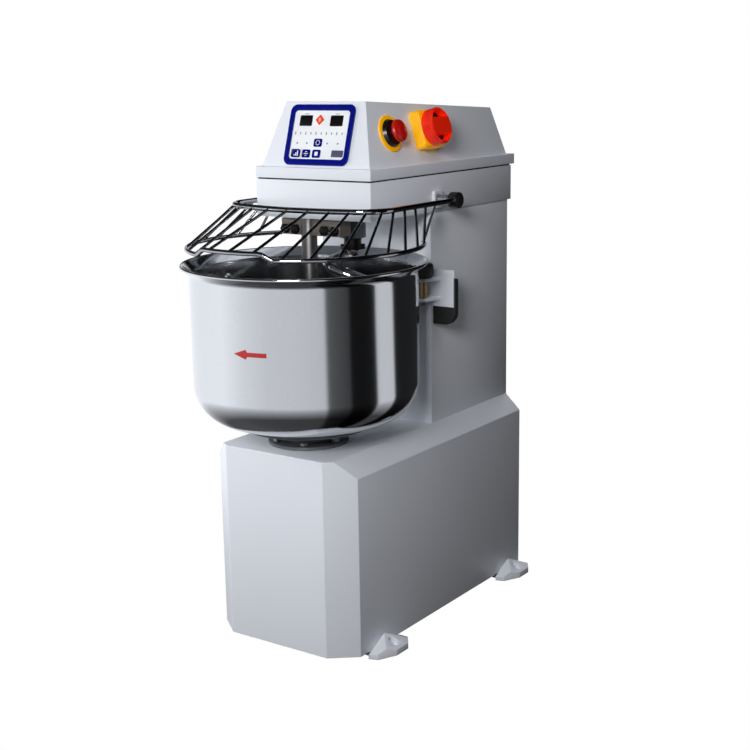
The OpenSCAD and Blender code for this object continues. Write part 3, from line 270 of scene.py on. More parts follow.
@dataclass(frozen=True)
class PowderCoat(Finish):
    """Baked powder paint on sheet steel: a faint orange peel about 2 mm across under a soft gloss."""

    roughness: float = 0.34
    ior: float = 1.52
    grain_mm: float = 2.2
    grain_depth_mm: float = 0.02
    colour_spread: float = 0.012
    cloud_mm: float = 220.0


@dataclass(frozen=True)
class BrushedSteel(Finish):
    """Stainless sheet or bar: grit lines drawn out along one axis, about 0.3 mm apart as drawn here."""

    roughness: float = 0.2
    metallic: float = 1.0
    grain_mm: float = 1.0
    grain_depth_mm: float = 0.0012
    colour_spread: float = 0.04
    roughness_spread: float = 0.03
    drawn: bool = True
    colour_stops: tuple[float, float] = (0.35, 0.65)


@dataclass(frozen=True)
class CastIron(Finish):
    """Sand casting: grains about 1 mm across that show as a low, uneven relief."""

    roughness: float = 0.58
    metallic: float = 0.35
    grain_mm: float = 1.6
    grain_depth_mm: float = 0.12
    colour_spread: float = 0.12
    cloud_mm: float = 30.0


@dataclass(frozen=True)
class Moulded(Finish):
    """Injection moulding: smooth with a light even spark texture."""

    roughness: float = 0.3
    grain_mm: float = 0.8
    grain_depth_mm: float = 0.006
    colour_spread: float = 0.03
    cloud_mm: float = 40.0


@dataclass(frozen=True)
class PrintedFilm(Finish):
    """Polyester membrane with the print on its back, so the front is one smooth glossy skin."""

    roughness: float = 0.16
    coat: float = 0.4
    grain_mm: float = 6.0
    grain_depth_mm: float = 0.003
    colour_spread: float = 0.01


class Slot(Enum):
    """Material slots of the record, with the finish that each one gets."""

    WHITE_PAINT = PowderCoat("white_powder_coat", "E9EDF5")
    STAINLESS = BrushedSteel(
        "brushed_stainless",
        "D6D8DB",
        roughness=0.11,
        grain_mm=5.0,
        grain_depth_mm=0.0005,
        stretch=(1, 1, 14),
    )
    POLISHED_STEEL = BrushedSteel("polished_steel_wire", "A4A6AA", roughness=0.09, roughness_spread=0.02)
    MACHINED_STEEL = BrushedSteel("turned_steel", "A2A4A8", roughness=0.3, stretch=(1.0, 1.0, 9.0))
    DARK_STEEL = BrushedSteel("black_oxide_steel", "2E2D2F", roughness=0.38, colour_spread=0.2)
    GREY_CAST = CastIron("grey_cast_iron", "6E7276")
    MOTOR_PAINT = PowderCoat("motor_enamel", "3A5270", roughness=0.4)
    BLACK_RUBBER = Moulded("black_rubber", "141415", roughness=0.62, ior=1.52, grain_depth_mm=0.03)
    BLACK_PLASTIC = Moulded("black_nylon", "111113", roughness=0.32, ior=1.53)
    PANEL_BLUE = PrintedFilm("blue_printed_film", "03107A", roughness=0.22, coat=0.0)
    PANEL_WHITE = PrintedFilm("white_printed_film", "F2F5F9", roughness=0.34, coat=0.0)
    DISPLAY_DARK = PrintedFilm("smoked_display_window", "080609", roughness=0.3, coat=0.0)
    # Both switch plastics glow a little: painted light that keeps their colour bright on the shaded side.
    SWITCH_YELLOW = Moulded("yellow_switch_plastic", "FFB805", roughness=0.34, glow=0.22)
    SWITCH_RED = Moulded("red_switch_plastic", "EE2408", roughness=0.3, glow=0.2)
    GREY_PLASTIC = Moulded("grey_box_plastic", "B2B6BA", roughness=0.4)

    @property
    def record_name(self) -> str:
        """The slot's name in the record."""
        return self.name.lower()


class Print(Enum):
    """Extra colours that the record's slots don't hold apart."""

    ORANGE = PrintedFilm("orange_print", "F4460F", roughness=0.34, coat=0.0)
    PALE_GREY = PrintedFilm("pale_grey_print", "8C97AC", roughness=0.34, coat=0.0)
    SLATE = PrintedFilm("slate_print", "55536E", roughness=0.34, coat=0.0)
    ICON_WHITE = PrintedFilm("icon_white_print", "F4F7FA", roughness=0.34, coat=0.0)
    # The mushroom glows a little too: painted light on the stop button.
    MUSHROOM_RED = Moulded("dark_red_switch_plastic", "C0140C", roughness=0.3, glow=0.1)
    SATIN = BrushedSteel("satin_steel_bar", "7C7A7A", roughness=0.42, stretch=(9.0, 9.0, 1.0))
    WARM_CAST = CastIron("warm_grey_casting", "8A8078", metallic=0.6, roughness=0.45)
    ARROW_RED = PrintedFilm("red_vinyl_film", "C4201C", roughness=0.3)
    BRONZE = BrushedSteel("sintered_bronze", "8E7B5E", roughness=0.4)


class Dressing:
    """Holds one built material for each finish."""

    def __init__(self) -> None:
        """Starts with nothing built."""
        self._built: dict[str, bpy.types.Material] = {}

    def material(self, finish: Finish) -> bpy.types.Material:
        """Returns the material of a finish, building it the first time."""
        if finish.name not in self._built:
            self._built[finish.name] = finish.build()
        return self._built[finish.name]


# ------------------------------------------------------------------ bench: modelling by operators


@dataclass(frozen=True)
class Box:
    """A box in the frame, from its lowest to its highest corner."""

    low: Vector
    high: Vector

    @property
    def centre(self) -> Vector:
        """Middle of the box."""
        return (self.low + self.high) / 2

    @property
    def size(self) -> Vector:
        """Lengths along X, Y and Z."""
        return self.high - self.low


def node_box(node: str) -> Box:
    """Returns the box of a CAD node at rest."""
    return Box(*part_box(node))


def add_object(name: str, data: bpy.types.ID) -> bpy.types.Object:
    """Adds an object that shows some data to the scene."""
    made = bpy.data.objects.new(name, data)
    bpy.context.scene.collection.objects.link(made)
    return made


def drawn(name: str, points: Sequence[Point], edges: Sequence = (), faces: Sequence = ()) -> Mesh:
    """Adds a piece from its points and what joins them."""
    mesh = bpy.data.meshes.new(name)
    mesh.from_pydata(points, edges, faces)
    return add_object(name, mesh)


def take(piece: Mesh) -> Mesh:
    """Makes a piece the only one selected, and active."""
    bpy.ops.object.select_all(action="DESELECT")
    piece.select_set(True)
    bpy.context.view_layer.objects.active = piece
    return piece


@contextmanager
def editing(piece: Mesh, part: Part = Part.CORNERS, test: Test | None = None) -> Iterator[None]:
    """Edit mode on a piece with its corners, edges or faces picked by a test.

    Args:
        piece: the mesh object.
        part: what the test looks at.
        test: gets a corner, an edge's vector or a face's centre. With no test, all is picked.

    Yields:
        Nothing. Object mode returns at the end.
    """
    take(piece)
    mesh = piece.data
    looks_at = {
        Part.CORNERS: (mesh.vertices, lambda corner: corner.co),
        Part.EDGES: (mesh.edges, lambda edge: _span(mesh, edge)),
        Part.FACES: (mesh.polygons, lambda face: face.center),
    }
    for group, _ in looks_at.values():
        group.foreach_set("select", [test is None] * len(group))
    if test is not None:
        items, measure = looks_at[part]
        for item in items:
            item.select = test(measure(item))
    bpy.ops.object.mode_set(mode="EDIT")
    bpy.ops.mesh.select_mode(type=part.value)
    try:
        yield
    finally:
        bpy.ops.object.mode_set(mode="OBJECT")


def _span(mesh: bpy.types.Mesh, edge: bpy.types.MeshEdge) -> Vector:
    """Returns the vector from one end of an edge to the other."""
    first, last = (mesh.vertices[i].co for i in edge.vertices)
    return last - first


def block(name: str, low: Sequence[float], high: Sequence[float]) -> Mesh:
    """Adds a cube and stretches it between two corners.

    Args:
        name: the new piece's name.
        low: its lowest corner.
        high: its highest corner.

    Returns:
        The piece, with its place in its mesh.
    """
    low, high = Vector(low), Vector(high)
    bpy.ops.object.select_all(action="DESELECT")
    bpy.ops.mesh.primitive_cube_add(size=1, location=(low + high) / 2, scale=high - low)
    piece = bpy.context.object
    piece.name = name
    bpy.ops.object.transform_apply(location=True, rotation=True, scale=True)
    return piece


def slice_off(piece: Mesh, point: Sequence[float], outward: Sequence[float]) -> None:
    """Cuts a piece by a plane and closes it, dropping the side that outward points to."""
    with editing(piece):
        bpy.ops.mesh.bisect(
            plane_co=point, plane_no=outward, use_fill=True, clear_outer=True, clear_inner=False
        )


def shift(piece: Mesh, test: Test, offset: Sequence[float]) -> None:
    """Moves the corners that the test picks."""
    with editing(piece, Part.CORNERS, test):
        bpy.ops.transform.translate(value=offset)


def drop_faces(piece: Mesh, test: Test) -> None:
    """Deletes the faces whose centres the test picks."""
    with editing(piece, Part.FACES, test):
        bpy.ops.mesh.delete(type="FACE")


def apply_modifier(piece: Mesh, kind: str, **settings: object) -> None:
    """Adds a modifier with its settings and applies it."""
    take(piece)
    modifier = piece.modifiers.new(kind.lower(), kind)
    for key, value in settings.items():
        setattr(modifier, key, value)
    bpy.ops.object.modifier_apply(modifier=modifier.name)


def smooth(piece: Mesh, degrees: float = 35.0) -> None:
    """Shades a piece smooth over edges flatter than an angle."""
    take(piece)
    bpy.ops.object.shade_smooth_by_angle(angle=math.radians(degrees))


def round_edges(piece: Mesh, width: float, segments: int = 3, degrees: float = 25.0) -> Mesh:
    """Rounds the sharp edges and shades the rest smooth.

    Args:
        piece: the mesh object.
        width: width of the rounding.
        segments: faces across it.
        degrees: edges sharper than this are rounded.

    Returns:
        The same piece.
    """
    apply_modifier(
        piece,
        "BEVEL",
        width=width,
        segments=segments,
        limit_method="ANGLE",
        angle_limit=math.radians(degrees),
        use_clamp_overlap=True,
        harden_normals=False,
        miter_outer="MITER_ARC",
    )
    smooth(piece)
    return piece


def from_frame(node: str, name: str) -> Mesh:
    """Copies a CAD node as a new piece, with its loose triangles merged into clean faces.

    Args:
        node: the CAD node.
        name: the new piece's name.

    Returns:
        The copy, which belongs to no body yet.
    """
    source = bpy.data.objects[node]
    piece = add_object(name, source.data.copy())
    if piece.data.has_custom_normals:
        take(piece)
        bpy.ops.mesh.customdata_custom_splitnormals_clear()
    with editing(piece):
        bpy.ops.mesh.remove_doubles(threshold=FRAME_WELD)
        bpy.ops.mesh.dissolve_limited(angle_limit=math.radians(0.5))
    return piece


def weld_and_face_out() -> None:
    """Welds what is picked in edit mode and turns its faces outwards."""
    bpy.ops.mesh.remove_doubles(threshold=OWN_WELD)
    bpy.ops.mesh.normals_make_consistent(inside=False)


def lathe(name: str, outline: Sequence[tuple[float, float]], steps: int = 96, closed: bool = False) -> Mesh:
    """Spins an outline round the Z axis.

    Args:
        name: the new piece's name.
        outline: radius and height of each point, from the bottom up the outside.
        steps: faces round.
        closed: whether the last point joins the first.

    Returns:
        The piece, with its faces outwards.
    """
    count = len(outline)
    edges = [(i, i + 1) for i in range(count - 1)] + ([(count - 1, 0)] if closed else [])
    piece = drawn(name, [(r, 0.0, z) for r, z in outline], edges)
    with editing(piece):
        bpy.ops.mesh.spin(steps=steps, angle=FULL_TURN, center=(0, 0, 0), axis=(0, 0, 1))
        bpy.ops.mesh.select_all(action="SELECT")
        weld_and_face_out()
    smooth(piece, 30.0)
    return piece


def place(piece: Mesh, matrix: Matrix) -> Mesh:
    """Puts a piece in place and leaves its object at the origin."""
    piece.matrix_world = matrix @ piece.matrix_world
    take(piece)
    bpy.ops.object.transform_apply(location=True, rotation=True, scale=True)
    return piece


def move(piece: Mesh, offset: Sequence[float]) -> Mesh:
    """Moves a piece and leaves its object at the origin."""
    return place(piece, Matrix.Translation(Vector(offset)))


def arc(centre: tuple[float, float], radius: float, start: float, end: float, steps: int) -> list:
    """Returns points along an arc in degrees, from start to end."""
    turns = [math.radians(start + (end - start) * i / steps) for i in range(steps + 1)]
    return [(centre[0] + radius * math.cos(a), centre[1] + radius * math.sin(a)) for a in turns]


def wire(
    name: str, points: Sequence[Sequence[float]], radius: float, sides: int = 4, tips: int = 0
) -> Mesh:
    """Sweeps a round bar along points.

    Args:
        name: the new piece's name.
        points: the bar's centre line.
        radius: the bar's radius.
        sides: Blender's bevel resolution, so a bar has 4 + 2 x sides faces round.
        tips: how many points at the far end draw in to a rounded tip.

    Returns:
        The bar as a mesh.
    """
    curve = bpy.data.curves.new(name, "CURVE")
    curve.dimensions = "3D"
    curve.bevel_depth = radius
    curve.bevel_resolution = sides
    curve.use_fill_caps = True
    line = curve.splines.new("POLY")
    line.points.add(len(points) - 1)
    for knot, point in zip(line.points, points):
        knot.co = (*point, 1.0)
    for i in range(tips):
        line.points[len(points) - 1 - i].radius = math.sin(math.acos(1 - (i + 0.35) / (tips + 0.35)))
    piece = add_object(name, curve)
    take(piece)
    bpy.ops.object.convert(target="MESH")
    piece = bpy.context.object
    with editing(piece):
        weld_and_face_out()
    smooth(piece, 40.0)
    return piece


def join(name: str, pieces: Sequence[Mesh]) -> Mesh:
    """Joins pieces into one object under a new name."""
    bpy.ops.object.select_all(action="DESELECT")
    for piece in pieces:
        piece.select_set(True)
    bpy.context.view_layer.objects.active = pieces[0]
    bpy.ops.object.join()
    joined = bpy.context.object
    joined.name = name
    return joined


def slab(name: str, width: float, height: float, thick: float, corner: float) -> Mesh:
    """Adds a rounded plate that lies on z = 0, centred.

    Args:
        name: the new piece's name.
        width: length along X.
        height: length along Y.
        thick: length along Z.
        corner: radius of its four upright edges.

    Returns:
        The plate.
    """
    piece = block(name, (-width / 2, -height / 2, 0), (width / 2, height / 2, thick))
    with editing(piece, Part.EDGES, lambda span: abs(span.z) > thick / 2):
        bpy.ops.mesh.bevel(offset=corner, segments=6, affect="EDGES")
    return round_edges(piece, min(0.4 * MM, thick * 0.4), 2, 40.0)


# ------------------------------------------------------------------ handing pieces to the frame


@dataclass
class Shop:
    """Dresses pieces and gives them to the frame's bodies."""

    frame: dict
    dressing: Dressing = field(default_factory=Dressing)

    def __post_init__(self) -> None:
        """Looks up each node's body and slot in the record."""
        record = self.frame["record"]
        self.body_of = {n: body for body, nodes in record["behaviour"]["bodies"].items() for n in nodes}
        self.slot_of = {row["node"]: Slot[row["material_slot"].upper()] for row in record["subparts"]}

    def paint(self, piece: Mesh, finish: Finish) -> None:
        """Gives a piece one material."""
        piece.data.materials.clear()
        piece.data.materials.append(self.dressing.material(finish))

    def dress_frame(self) -> None:
        """Gives every CAD node the finish of its slot."""
        for node, piece in self.frame["nodes"].items():
            self.paint(piece, self.slot_of[node].value)

    def ease(
        self, node: str, name: str, width: float, segments: int = 2, finish: Finish | None = None
    ) -> Mesh:
        """Copies a CAD node with its sharp edges rounded by a width, and lets the copy stand for it."""
        return self.deliver(round_edges(from_frame(node, name), width, segments), node, finish)

    def trim(self, name: str, pieces: Sequence[Mesh], node: str, finish: Finish) -> Mesh:
        """Joins pieces into one that goes with a node without standing for it."""
        return self.deliver(join(name, pieces), node, finish, False)

    def deliver(
        self, piece: Mesh, node: str, finish: Finish | None = None, stands_for: bool = True
    ) -> Mesh:
        """Dresses a piece and lets it ride with a node's body.

        Args:
            piece: the finished mesh.
            node: the CAD node that it stands for or belongs with.
            finish: its finish, or the node's own.
            stands_for: whether the node is hidden behind it.

        Returns:
            The same piece.
        """
        slot = self.slot_of[node]
        self.paint(piece, finish or slot.value)
        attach(piece, self.body_of[node])
        if stands_for:
            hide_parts(node)
        LOG.info("%s rides on %s", piece.name, self.body_of[node])
        return piece


# ------------------------------------------------------------------ cabinet, column, head and lid


@dataclass
class Cabinet:
    """Base cabinet of folded sheet steel with its column, covers and feet."""

    shop: Shop
    corner_across: float = 47 * MM
    corner_along: float = 37 * MM
    edge_across: float = 32 * MM
    edge_down: float = 31 * MM
    sheet: float = 2.5 * MM
    fold: float = 3.0 * MM

    def build(self) -> None:
        """Builds the cabinet and eases the edges of what is fixed to it."""
        self.base()
        self.shop.ease("column_shell", "column", self.fold / 2)
        self.shop.ease("rear_covers", "rear_cover_sheets", 0.7 * MM)
        self.shop.ease("feet", "cast_feet", 2.2 * MM, 3)

    def base(self) -> None:
        """Cuts the cabinet from a block, opens it below and gives the sheet its thickness."""
        box = node_box("base_shell")
        piece = block("base_cabinet", box.low, box.high)
        for side in (-1, 1):
            corner = Vector((side * box.high.x, box.low.y + self.corner_along, 0))
            slice_off(piece, corner, (side * self.corner_along, -self.corner_across, 0))
            shoulder = Vector((side * box.high.x, 0, box.high.z - self.edge_down))
            slice_off(piece, shoulder, (side * self.edge_down, 0, self.edge_across))
        floor = box.low.z + HAIR
        drop_faces(piece, lambda c: c.z < floor)
        apply_modifier(piece, "SOLIDIFY", thickness=self.sheet, offset=-1, use_even_offset=True)
        round_edges(piece, self.fold, 4)
        self.shop.deliver(piece, "base_shell")


@dataclass
class Head:
    """Head box and the lid that closes it."""

    shop: Shop
    side_ledge: float = 8 * MM
    front_ledge: float = 10 * MM
    rear_ledge: float = 18 * MM
    band: float = 19.5 * MM
    front_lean: float = 35 * MM
    side_lean: float = 31 * MM
    rear_lean: float = 20 * MM
    top_fall: float = 22 * MM
    sheet: float = 2 * MM
    fold: float = 2.4 * MM

    def build(self) -> None:
        """Builds the box and the lid."""
        self.shop.ease("head_box", "head_casing", 1.1 * MM)
        self.lid()

    def lid(self) -> None:
        """Raises the sloped hood from the lid's band and hollows it."""
        box = node_box("lid")
        ledge = box.low.z + self.band
        piece = block("control_lid", box.low, (box.high.x, box.high.y, ledge))
        with editing(piece, Part.FACES, lambda c: c.z > ledge - HAIR):
            bpy.ops.mesh.inset(thickness=self.side_ledge)
        inner = box.high.x - self.side_ledge + HAIR
        cuts = ((-1, self.front_ledge - self.side_ledge), (1, self.side_ledge - self.rear_ledge))
        for end, cut in cuts:
            shift(piece, lambda c: abs(c.x) < inner and c.z > ledge - MM and c.y * end > 0, (0, cut, 0))
        hood = lambda c: abs(c.x) < MM and c.z > ledge - MM and abs(c.y - box.centre.y) < 50 * MM
        with editing(piece, Part.FACES, hood):
            bpy.ops.mesh.extrude_region_move(TRANSFORM_OT_translate={"value": (0, 0, box.high.z - ledge)})
        rise = box.high.z - ledge
        rear_share = (rise - self.top_fall) / rise
        top = box.high.z - MM
        ends = ((-1, 1.0, self.front_lean, 0.0), (1, rear_share, -self.rear_lean, -self.top_fall))
        for side in (-1, 1):
            for end, share, lean, fall in ends:
                shift(
                    piece,
                    lambda c: c.z > top and (c.y - box.centre.y) * end > 0 and c.x * side > 0,
                    (-side * self.side_lean * share, lean, fall),
                )
        drop_faces(piece, lambda c: c.z < box.low.z + HAIR)
        apply_modifier(piece, "SOLIDIFY", thickness=self.sheet, offset=-1, use_even_offset=True)
        round_edges(piece, self.fold, 4, 20.0)
        self.shop.deliver(piece, "lid")


# ------------------------------------------------------------------ panel and switches


@dataclass
class Slope:
    """A sloping face of the lid: where it starts and how it lies."""

    start: Vector
    across: Vector
    up: Vector

    @property
    def out(self) -> Vector:
        """Direction away from the lid."""
        return self.across.cross(self.up).normalized()

    def matrix(self, x: float = 0.0, up: float = 0.0, out: float = 0.0) -> Matrix:
        """Returns the place of a piece whose own axes are across, up and out."""
        turn = Matrix((self.across, self.up, self.out)).transposed().to_4x4()
        spot = self.start + self.across * x + self.up * up + self.out * out
        return Matrix.Translation(spot) @ turn


@dataclass
class ControlPanel:
    """Membrane panel on the lid's front slope. Places are from the panel's middle."""

    shop: Shop
    head: Head
    face: float = 2 * MM
    print_step: float = 0.4 * MM
    key: tuple[float, float] = (18 * MM, 14.5 * MM)

    def slope(self) -> Slope:
        """The lid's front slope, starting at the panel's middle."""
        box = node_box("lid")
        ledge = box.low.z + self.head.band
        up = Vector((0, self.head.front_lean, box.high.z - ledge))
        foot = Vector((0, box.low.y + self.head.front_ledge, ledge))
        return Slope(foot + up / 2 - up.normalized() * MM, Vector((1, 0, 0)), up.normalized())

    def build(self) -> None:
        """Builds the frame, the face and all its prints."""
        self.shop.ease("panel_frame", "panel_bezel", 1.2 * MM, 3)
        self.shop.ease("panel_face", "panel_membrane", 0.4 * MM)
        self.shop.ease("panel_displays", "display_windows", 0.3 * MM)
        self.keys()
        self.marks()

    def on_face(self, piece: Mesh, x: float, up: float, layer: int = 0) -> Mesh:
        """Lays a flat piece on the membrane, a print layer higher for each one under it."""
        return place(piece, self.slope().matrix(x * MM, up * MM, self.face + layer * self.print_step))

    def pad(self, x: float, up: float, width: float, height: float, corner: float, layer: int = 0) -> Mesh:
        """Lays a rounded pad on the membrane, sizes in millimetres."""
        piece = slab("pad", width * MM, height * MM, self.print_step + 0.05 * MM, corner * MM)
        return self.on_face(piece, x, up, layer)

    def keys(self) -> None:
        """Four blue keys with their white pictures, and the slate block beside them."""
        spots = [(-44.0, -33.5), (-22.0, -33.5), (0.2, -33.5), (0.2, -14.0)]
        width, height = (v / MM for v in self.key)
        pads = [self.pad(x, up, width, height, 3) for x, up in spots]
        self.shop.deliver(join("membrane_keys", pads), "panel_keys")
        pictures: list[Mesh] = []
        for turn, (x, up) in enumerate(spots):
            pictures.extend(self.picture(x, up, turn))
        self.shop.trim("key_pictures", pictures, "panel_keys", Print.ICON_WHITE.value)
        block_pad = self.pad(45.0, -32.8, 25, 12, 1.2)
        block_pad.name = "function_block"
        self.shop.deliver(block_pad, "panel_keys", Print.SLATE.value, False)

    def picture(self, x: float, up: float, kind: int) -> list[Mesh]:
        """Draws a plain picture on a key: bars, a triangle, a square or a ring of dots."""
        if kind == 0:
            return [self.pad(x + dx, up + (dx - 3.4) / 2.4, 2.2, 6 + dx, 0.5, 1) for dx in (-3.4, 0.0, 3.4)]
        if kind == 1:
            return [self.pad(x, up + dy, 9.0 - 2.6 * abs(dy) / 1.6, 1.3, 0.4, 1) for dy in (-3.2, 0.0, 3.2)]
        if kind == 2:
            return [self.pad(x, up, 7.0, 7.0, 1.0, 1)]
        spots = [FULL_TURN * i / 8 for i in range(8)]
        return [self.pad(x + 4 * math.cos(a), up + 4 * math.sin(a), 1.7, 1.7, 0.5, 1) for a in spots]

    def marks(self) -> None:
        """Time marks, lamps and the orange diamond."""
        ticks = [self.pad((i - 4.5) * 11.2 - 1.5, 2.5, 2.0, 5.6 - 1.4 * (i % 2), 0.4) for i in range(10)]
        ticks += [self.pad(x, -15.0, 3.6, 3.0, 1.2) for x in (-45.0, -24.0, 20.6, 43.0)]
        ticks += [self.pad(x, 36.8, 9.0, 1.2, 0.4) for x in (-33.0, 33.0)]
        self.shop.trim("time_marks", ticks, "panel_keys", Print.PALE_GREY.value)
        diamond = slab("mode_diamond", 13.8 * MM, 13.8 * MM, self.print_step, 1.5 * MM)
        place(diamond, Matrix.Rotation(math.radians(45), 4, "Z"))
        self.on_face(diamond, -3.2, 26.5)
        self.shop.deliver(diamond, "panel_keys", Print.ORANGE.value, False)
        bars = [self.pad(-3.2, 26.5 + dy, 5.5 - abs(dy), 1.2, 0.3, 1) for dy in (-2.4, 0.0, 2.4)]
        self.shop.trim("diamond_bars", bars, "panel_keys", Print.ICON_WHITE.value)


@dataclass
class Switches:
    """Stop button and main switch on the lid's right slope."""

    shop: Shop
    head: Head
    mushroom: float = 20 * MM
    neck: float = 12 * MM
    stem: float = 6 * MM
    block_t: float = 20 * MM
    knob_r: float = 33 * MM
    knob_h: float = 22 * MM
    knob_rim: float = 3.5 * MM
    bar_half: float = 15 * MM
    recess_floor: float = 5 * MM
    gap: float = 0.3 * MM

    def slope(self, node: str) -> Slope:
        """The lid's right slope, starting at its middle height beside a node."""
        box = node_box("lid")
        ledge = box.low.z + self.head.band
        rise = box.high.z - ledge
        up = Vector((-self.head.side_lean, 0, rise))
        foot = Vector((box.high.x - self.head.side_ledge, node_box(node).centre.y, ledge))
        return Slope(foot + up / 2, Vector((0, 1, 0)), up.normalized())

    def build(self) -> None:
        """Builds the button, its plate and collar, and the switch."""
        self.button()
        self.knob()
        self.shop.ease("switch_block", "switch_base", 1.6 * MM, 3)
        self.shop.ease("stop_plate", "stop_ring_plate", 0.4 * MM)

    def button(self) -> None:
        """Turns the mushroom head with its rounded rim and a shallow ring on top."""
        seat = 15 * MM
        top = seat + 13 * MM
        rim = self.mushroom
        outline = [(0.0, -11 * MM), (self.stem, -11 * MM), (self.stem, seat - 0.5 * MM)]
        outline += [(self.neck, seat), (rim - 5 * MM, seat + 1.5 * MM)]
        outline += arc((rim - 3 * MM, seat + 5.5 * MM), 3 * MM, -60, 35, 8)
        outline += [
            (rim * share, seat + 7 * MM + (top - seat - 7 * MM) * math.sqrt(1 - share * share))
            for share in (0.93, 0.85, 0.75, 0.64, 0.55)
        ]
        dish = ((0.53, 1.8), (0.47, 1.6), (0.44, 0.9), (0.3, 0.4), (0.15, 0.1), (0.0, 0.0))
        outline += [(rim * share, top - down * MM) for share, down in dish]
        piece = lathe("stop_mushroom", outline, 72)
        place(piece, self.slope("stop_button").matrix())
        self.shop.deliver(piece, "stop_button", Print.MUSHROOM_RED.value)

    def knob(self) -> None:
        """Rounds the CAD knob's grip bar and rim, and lays thin black sheets on the floors of its two
        recesses as painted shade.
        """
        self.shop.ease("switch_knob", "grip_knob", 1.2 * MM, 3)
        floor = self.block_t + self.gap + self.recess_floor
        # Thin black sheets on the two recess floors: painted shade in the recesses.
        shade_liners = []
        for side in (-1, 1):
            reach = self.knob_r - self.knob_rim - 0.6 * MM
            turn = math.degrees(math.asin((self.bar_half + 0.6 * MM) / reach))
            rim = arc((0.0, 0.0), reach, turn, 180 - turn, 24)
            face = list(range(len(rim)))[::side]
            shade_liner = drawn("recess", [(x, side * y, floor) for x, y in rim], faces=[face])
            apply_modifier(shade_liner, "SOLIDIFY", thickness=0.4 * MM, offset=1)
            shade_liners.append(shade_liner)
        piece = join("recess_shade_liners", shade_liners)
        place(piece, self.slope("switch_knob").matrix())
        self.shop.deliver(piece, "switch_knob", Slot.BLACK_PLASTIC.value, False)


# ------------------------------------------------------------------ guard


@dataclass
class Guard:
    """Wire guard: bent tube above, ring below and straight bars between them."""

    shop: Shop
    half: float = 165 * MM
    corner: float = 60 * MM
    bend_from: float = 36 * MM
    apex: float = -40 * MM
    ring_r: float = 206 * MM
    ring_y: float = 6 * MM
    ring_rise: float = 11 * MM
    ring_end: float = 40.0
    step_low: float = 24.0
    step_high: float = 16.0
    bar_step: float = 13.0
    top_step: float = 15.0
    arm_step: float = 33 * MM

    def __post_init__(self) -> None:
        """Works out the levels and the flat front arc, tangent to both corner arcs."""
        self.bowl_y = node_box("bowl").centre.y
        across, depth = self.half - self.corner, self.bend_from - self.apex
        spare = depth - self.corner
        self.front_r = (across**2 + depth**2 - self.corner**2) / (2 * spare)
        self.front_c = self.front_r + self.apex
        self.span = math.degrees(math.atan(across / (self.front_c - self.bend_from)))
        self.level = node_box("guard_frame").centre.z
        self.ring_level = node_box("guard_ring").low.z + node_tube("guard_ring", self.ring_rise) / 2

    def build(self) -> None:
        """Builds the tube, the ring, the bars and the hinges."""
        shop = self.shop
        shop.deliver(wire("guard_tube", self.tube_line(), 5 * MM, 6), "guard_frame")
        ring = [self.ring_point(-90 + (self.ring_end + 90) * (i / 110 - 1)) for i in range(221)]
        shop.deliver(wire("guard_rim_wire", ring, 4 * MM, 5), "guard_ring")
        bars = [wire("bar", self.bar_line(k), 2.5 * MM, 3) for k in range(-10, 11)]
        shop.deliver(join("guard_wires", bars), "guard_bars")
        shop.ease("guard_end_caps", "pivot_caps", 1.2 * MM, 3)
        shop.ease("guard_hinge_brackets", "pivot_brackets", 1.0 * MM, 2)

    def tube_line(self) -> list[Point]:
        """Returns the upper tube's centre line, from the right arm round to the left."""
        back = node_box("guard_frame").high.y - self.bowl_y
        right = [(self.half, back)]
        right += arc((self.half - self.corner, self.bend_from), self.corner, 0, self.span - 90, 22)
        front = arc((0.0, self.front_c), self.front_r, self.span - 90, -90, 16)
        half_line = right + front[1:]
        line = half_line + [(-x, y) for x, y in reversed(half_line[:-1])]
        return [(x, y + self.bowl_y, self.level) for x, y in line]

    def ring_point(self, degrees: float) -> Point:
        """Returns the point of the lower ring at an angle from the machine's right."""
        share = (self.step_low - abs(degrees + 90)) / (self.step_low - self.step_high)
        share = min(1.0, max(0.0, share))
        rise = self.ring_rise * share * share * (3 - 2 * share)
        turn = math.radians(degrees)
        y = self.ring_y + self.ring_r * math.sin(turn) + self.bowl_y
        return (self.ring_r * math.cos(turn), y, self.ring_level + rise)

    def top_y(self, x: float) -> float:
        """Returns the upper tube's place front to back at a distance from the middle."""
        x = abs(x)
        if x <= self.front_r * math.sin(math.radians(self.span)):
            return self.front_c - math.sqrt(self.front_r**2 - x * x)
        return self.bend_from - math.sqrt(max(0.0, self.corner**2 - (x - self.half + self.corner) ** 2))

    def bar_line(self, k: int) -> list[Point]:
        """Returns both ends of bar k, counted from the middle."""
        side = -1 if k < 0 else 1
        k = abs(k)
        x, y, z = self.ring_point(k * self.bar_step - 90)
        if k <= 6:
            top_x = self.half * math.sin(math.radians(self.top_step * k))
            top_y = self.top_y(top_x)
        else:
            top_x, top_y = self.half, self.bend_from + self.arm_step * (k - 6)
        return [(side * x, y, z), (side * top_x, top_y + self.bowl_y, self.level)]


def node_tube(node: str, rise: float) -> float:
    """Returns the tube diameter of a level ring that rises by a known amount."""
    return node_box(node).size.z - rise


# ------------------------------------------------------------------ bowl, hook and post


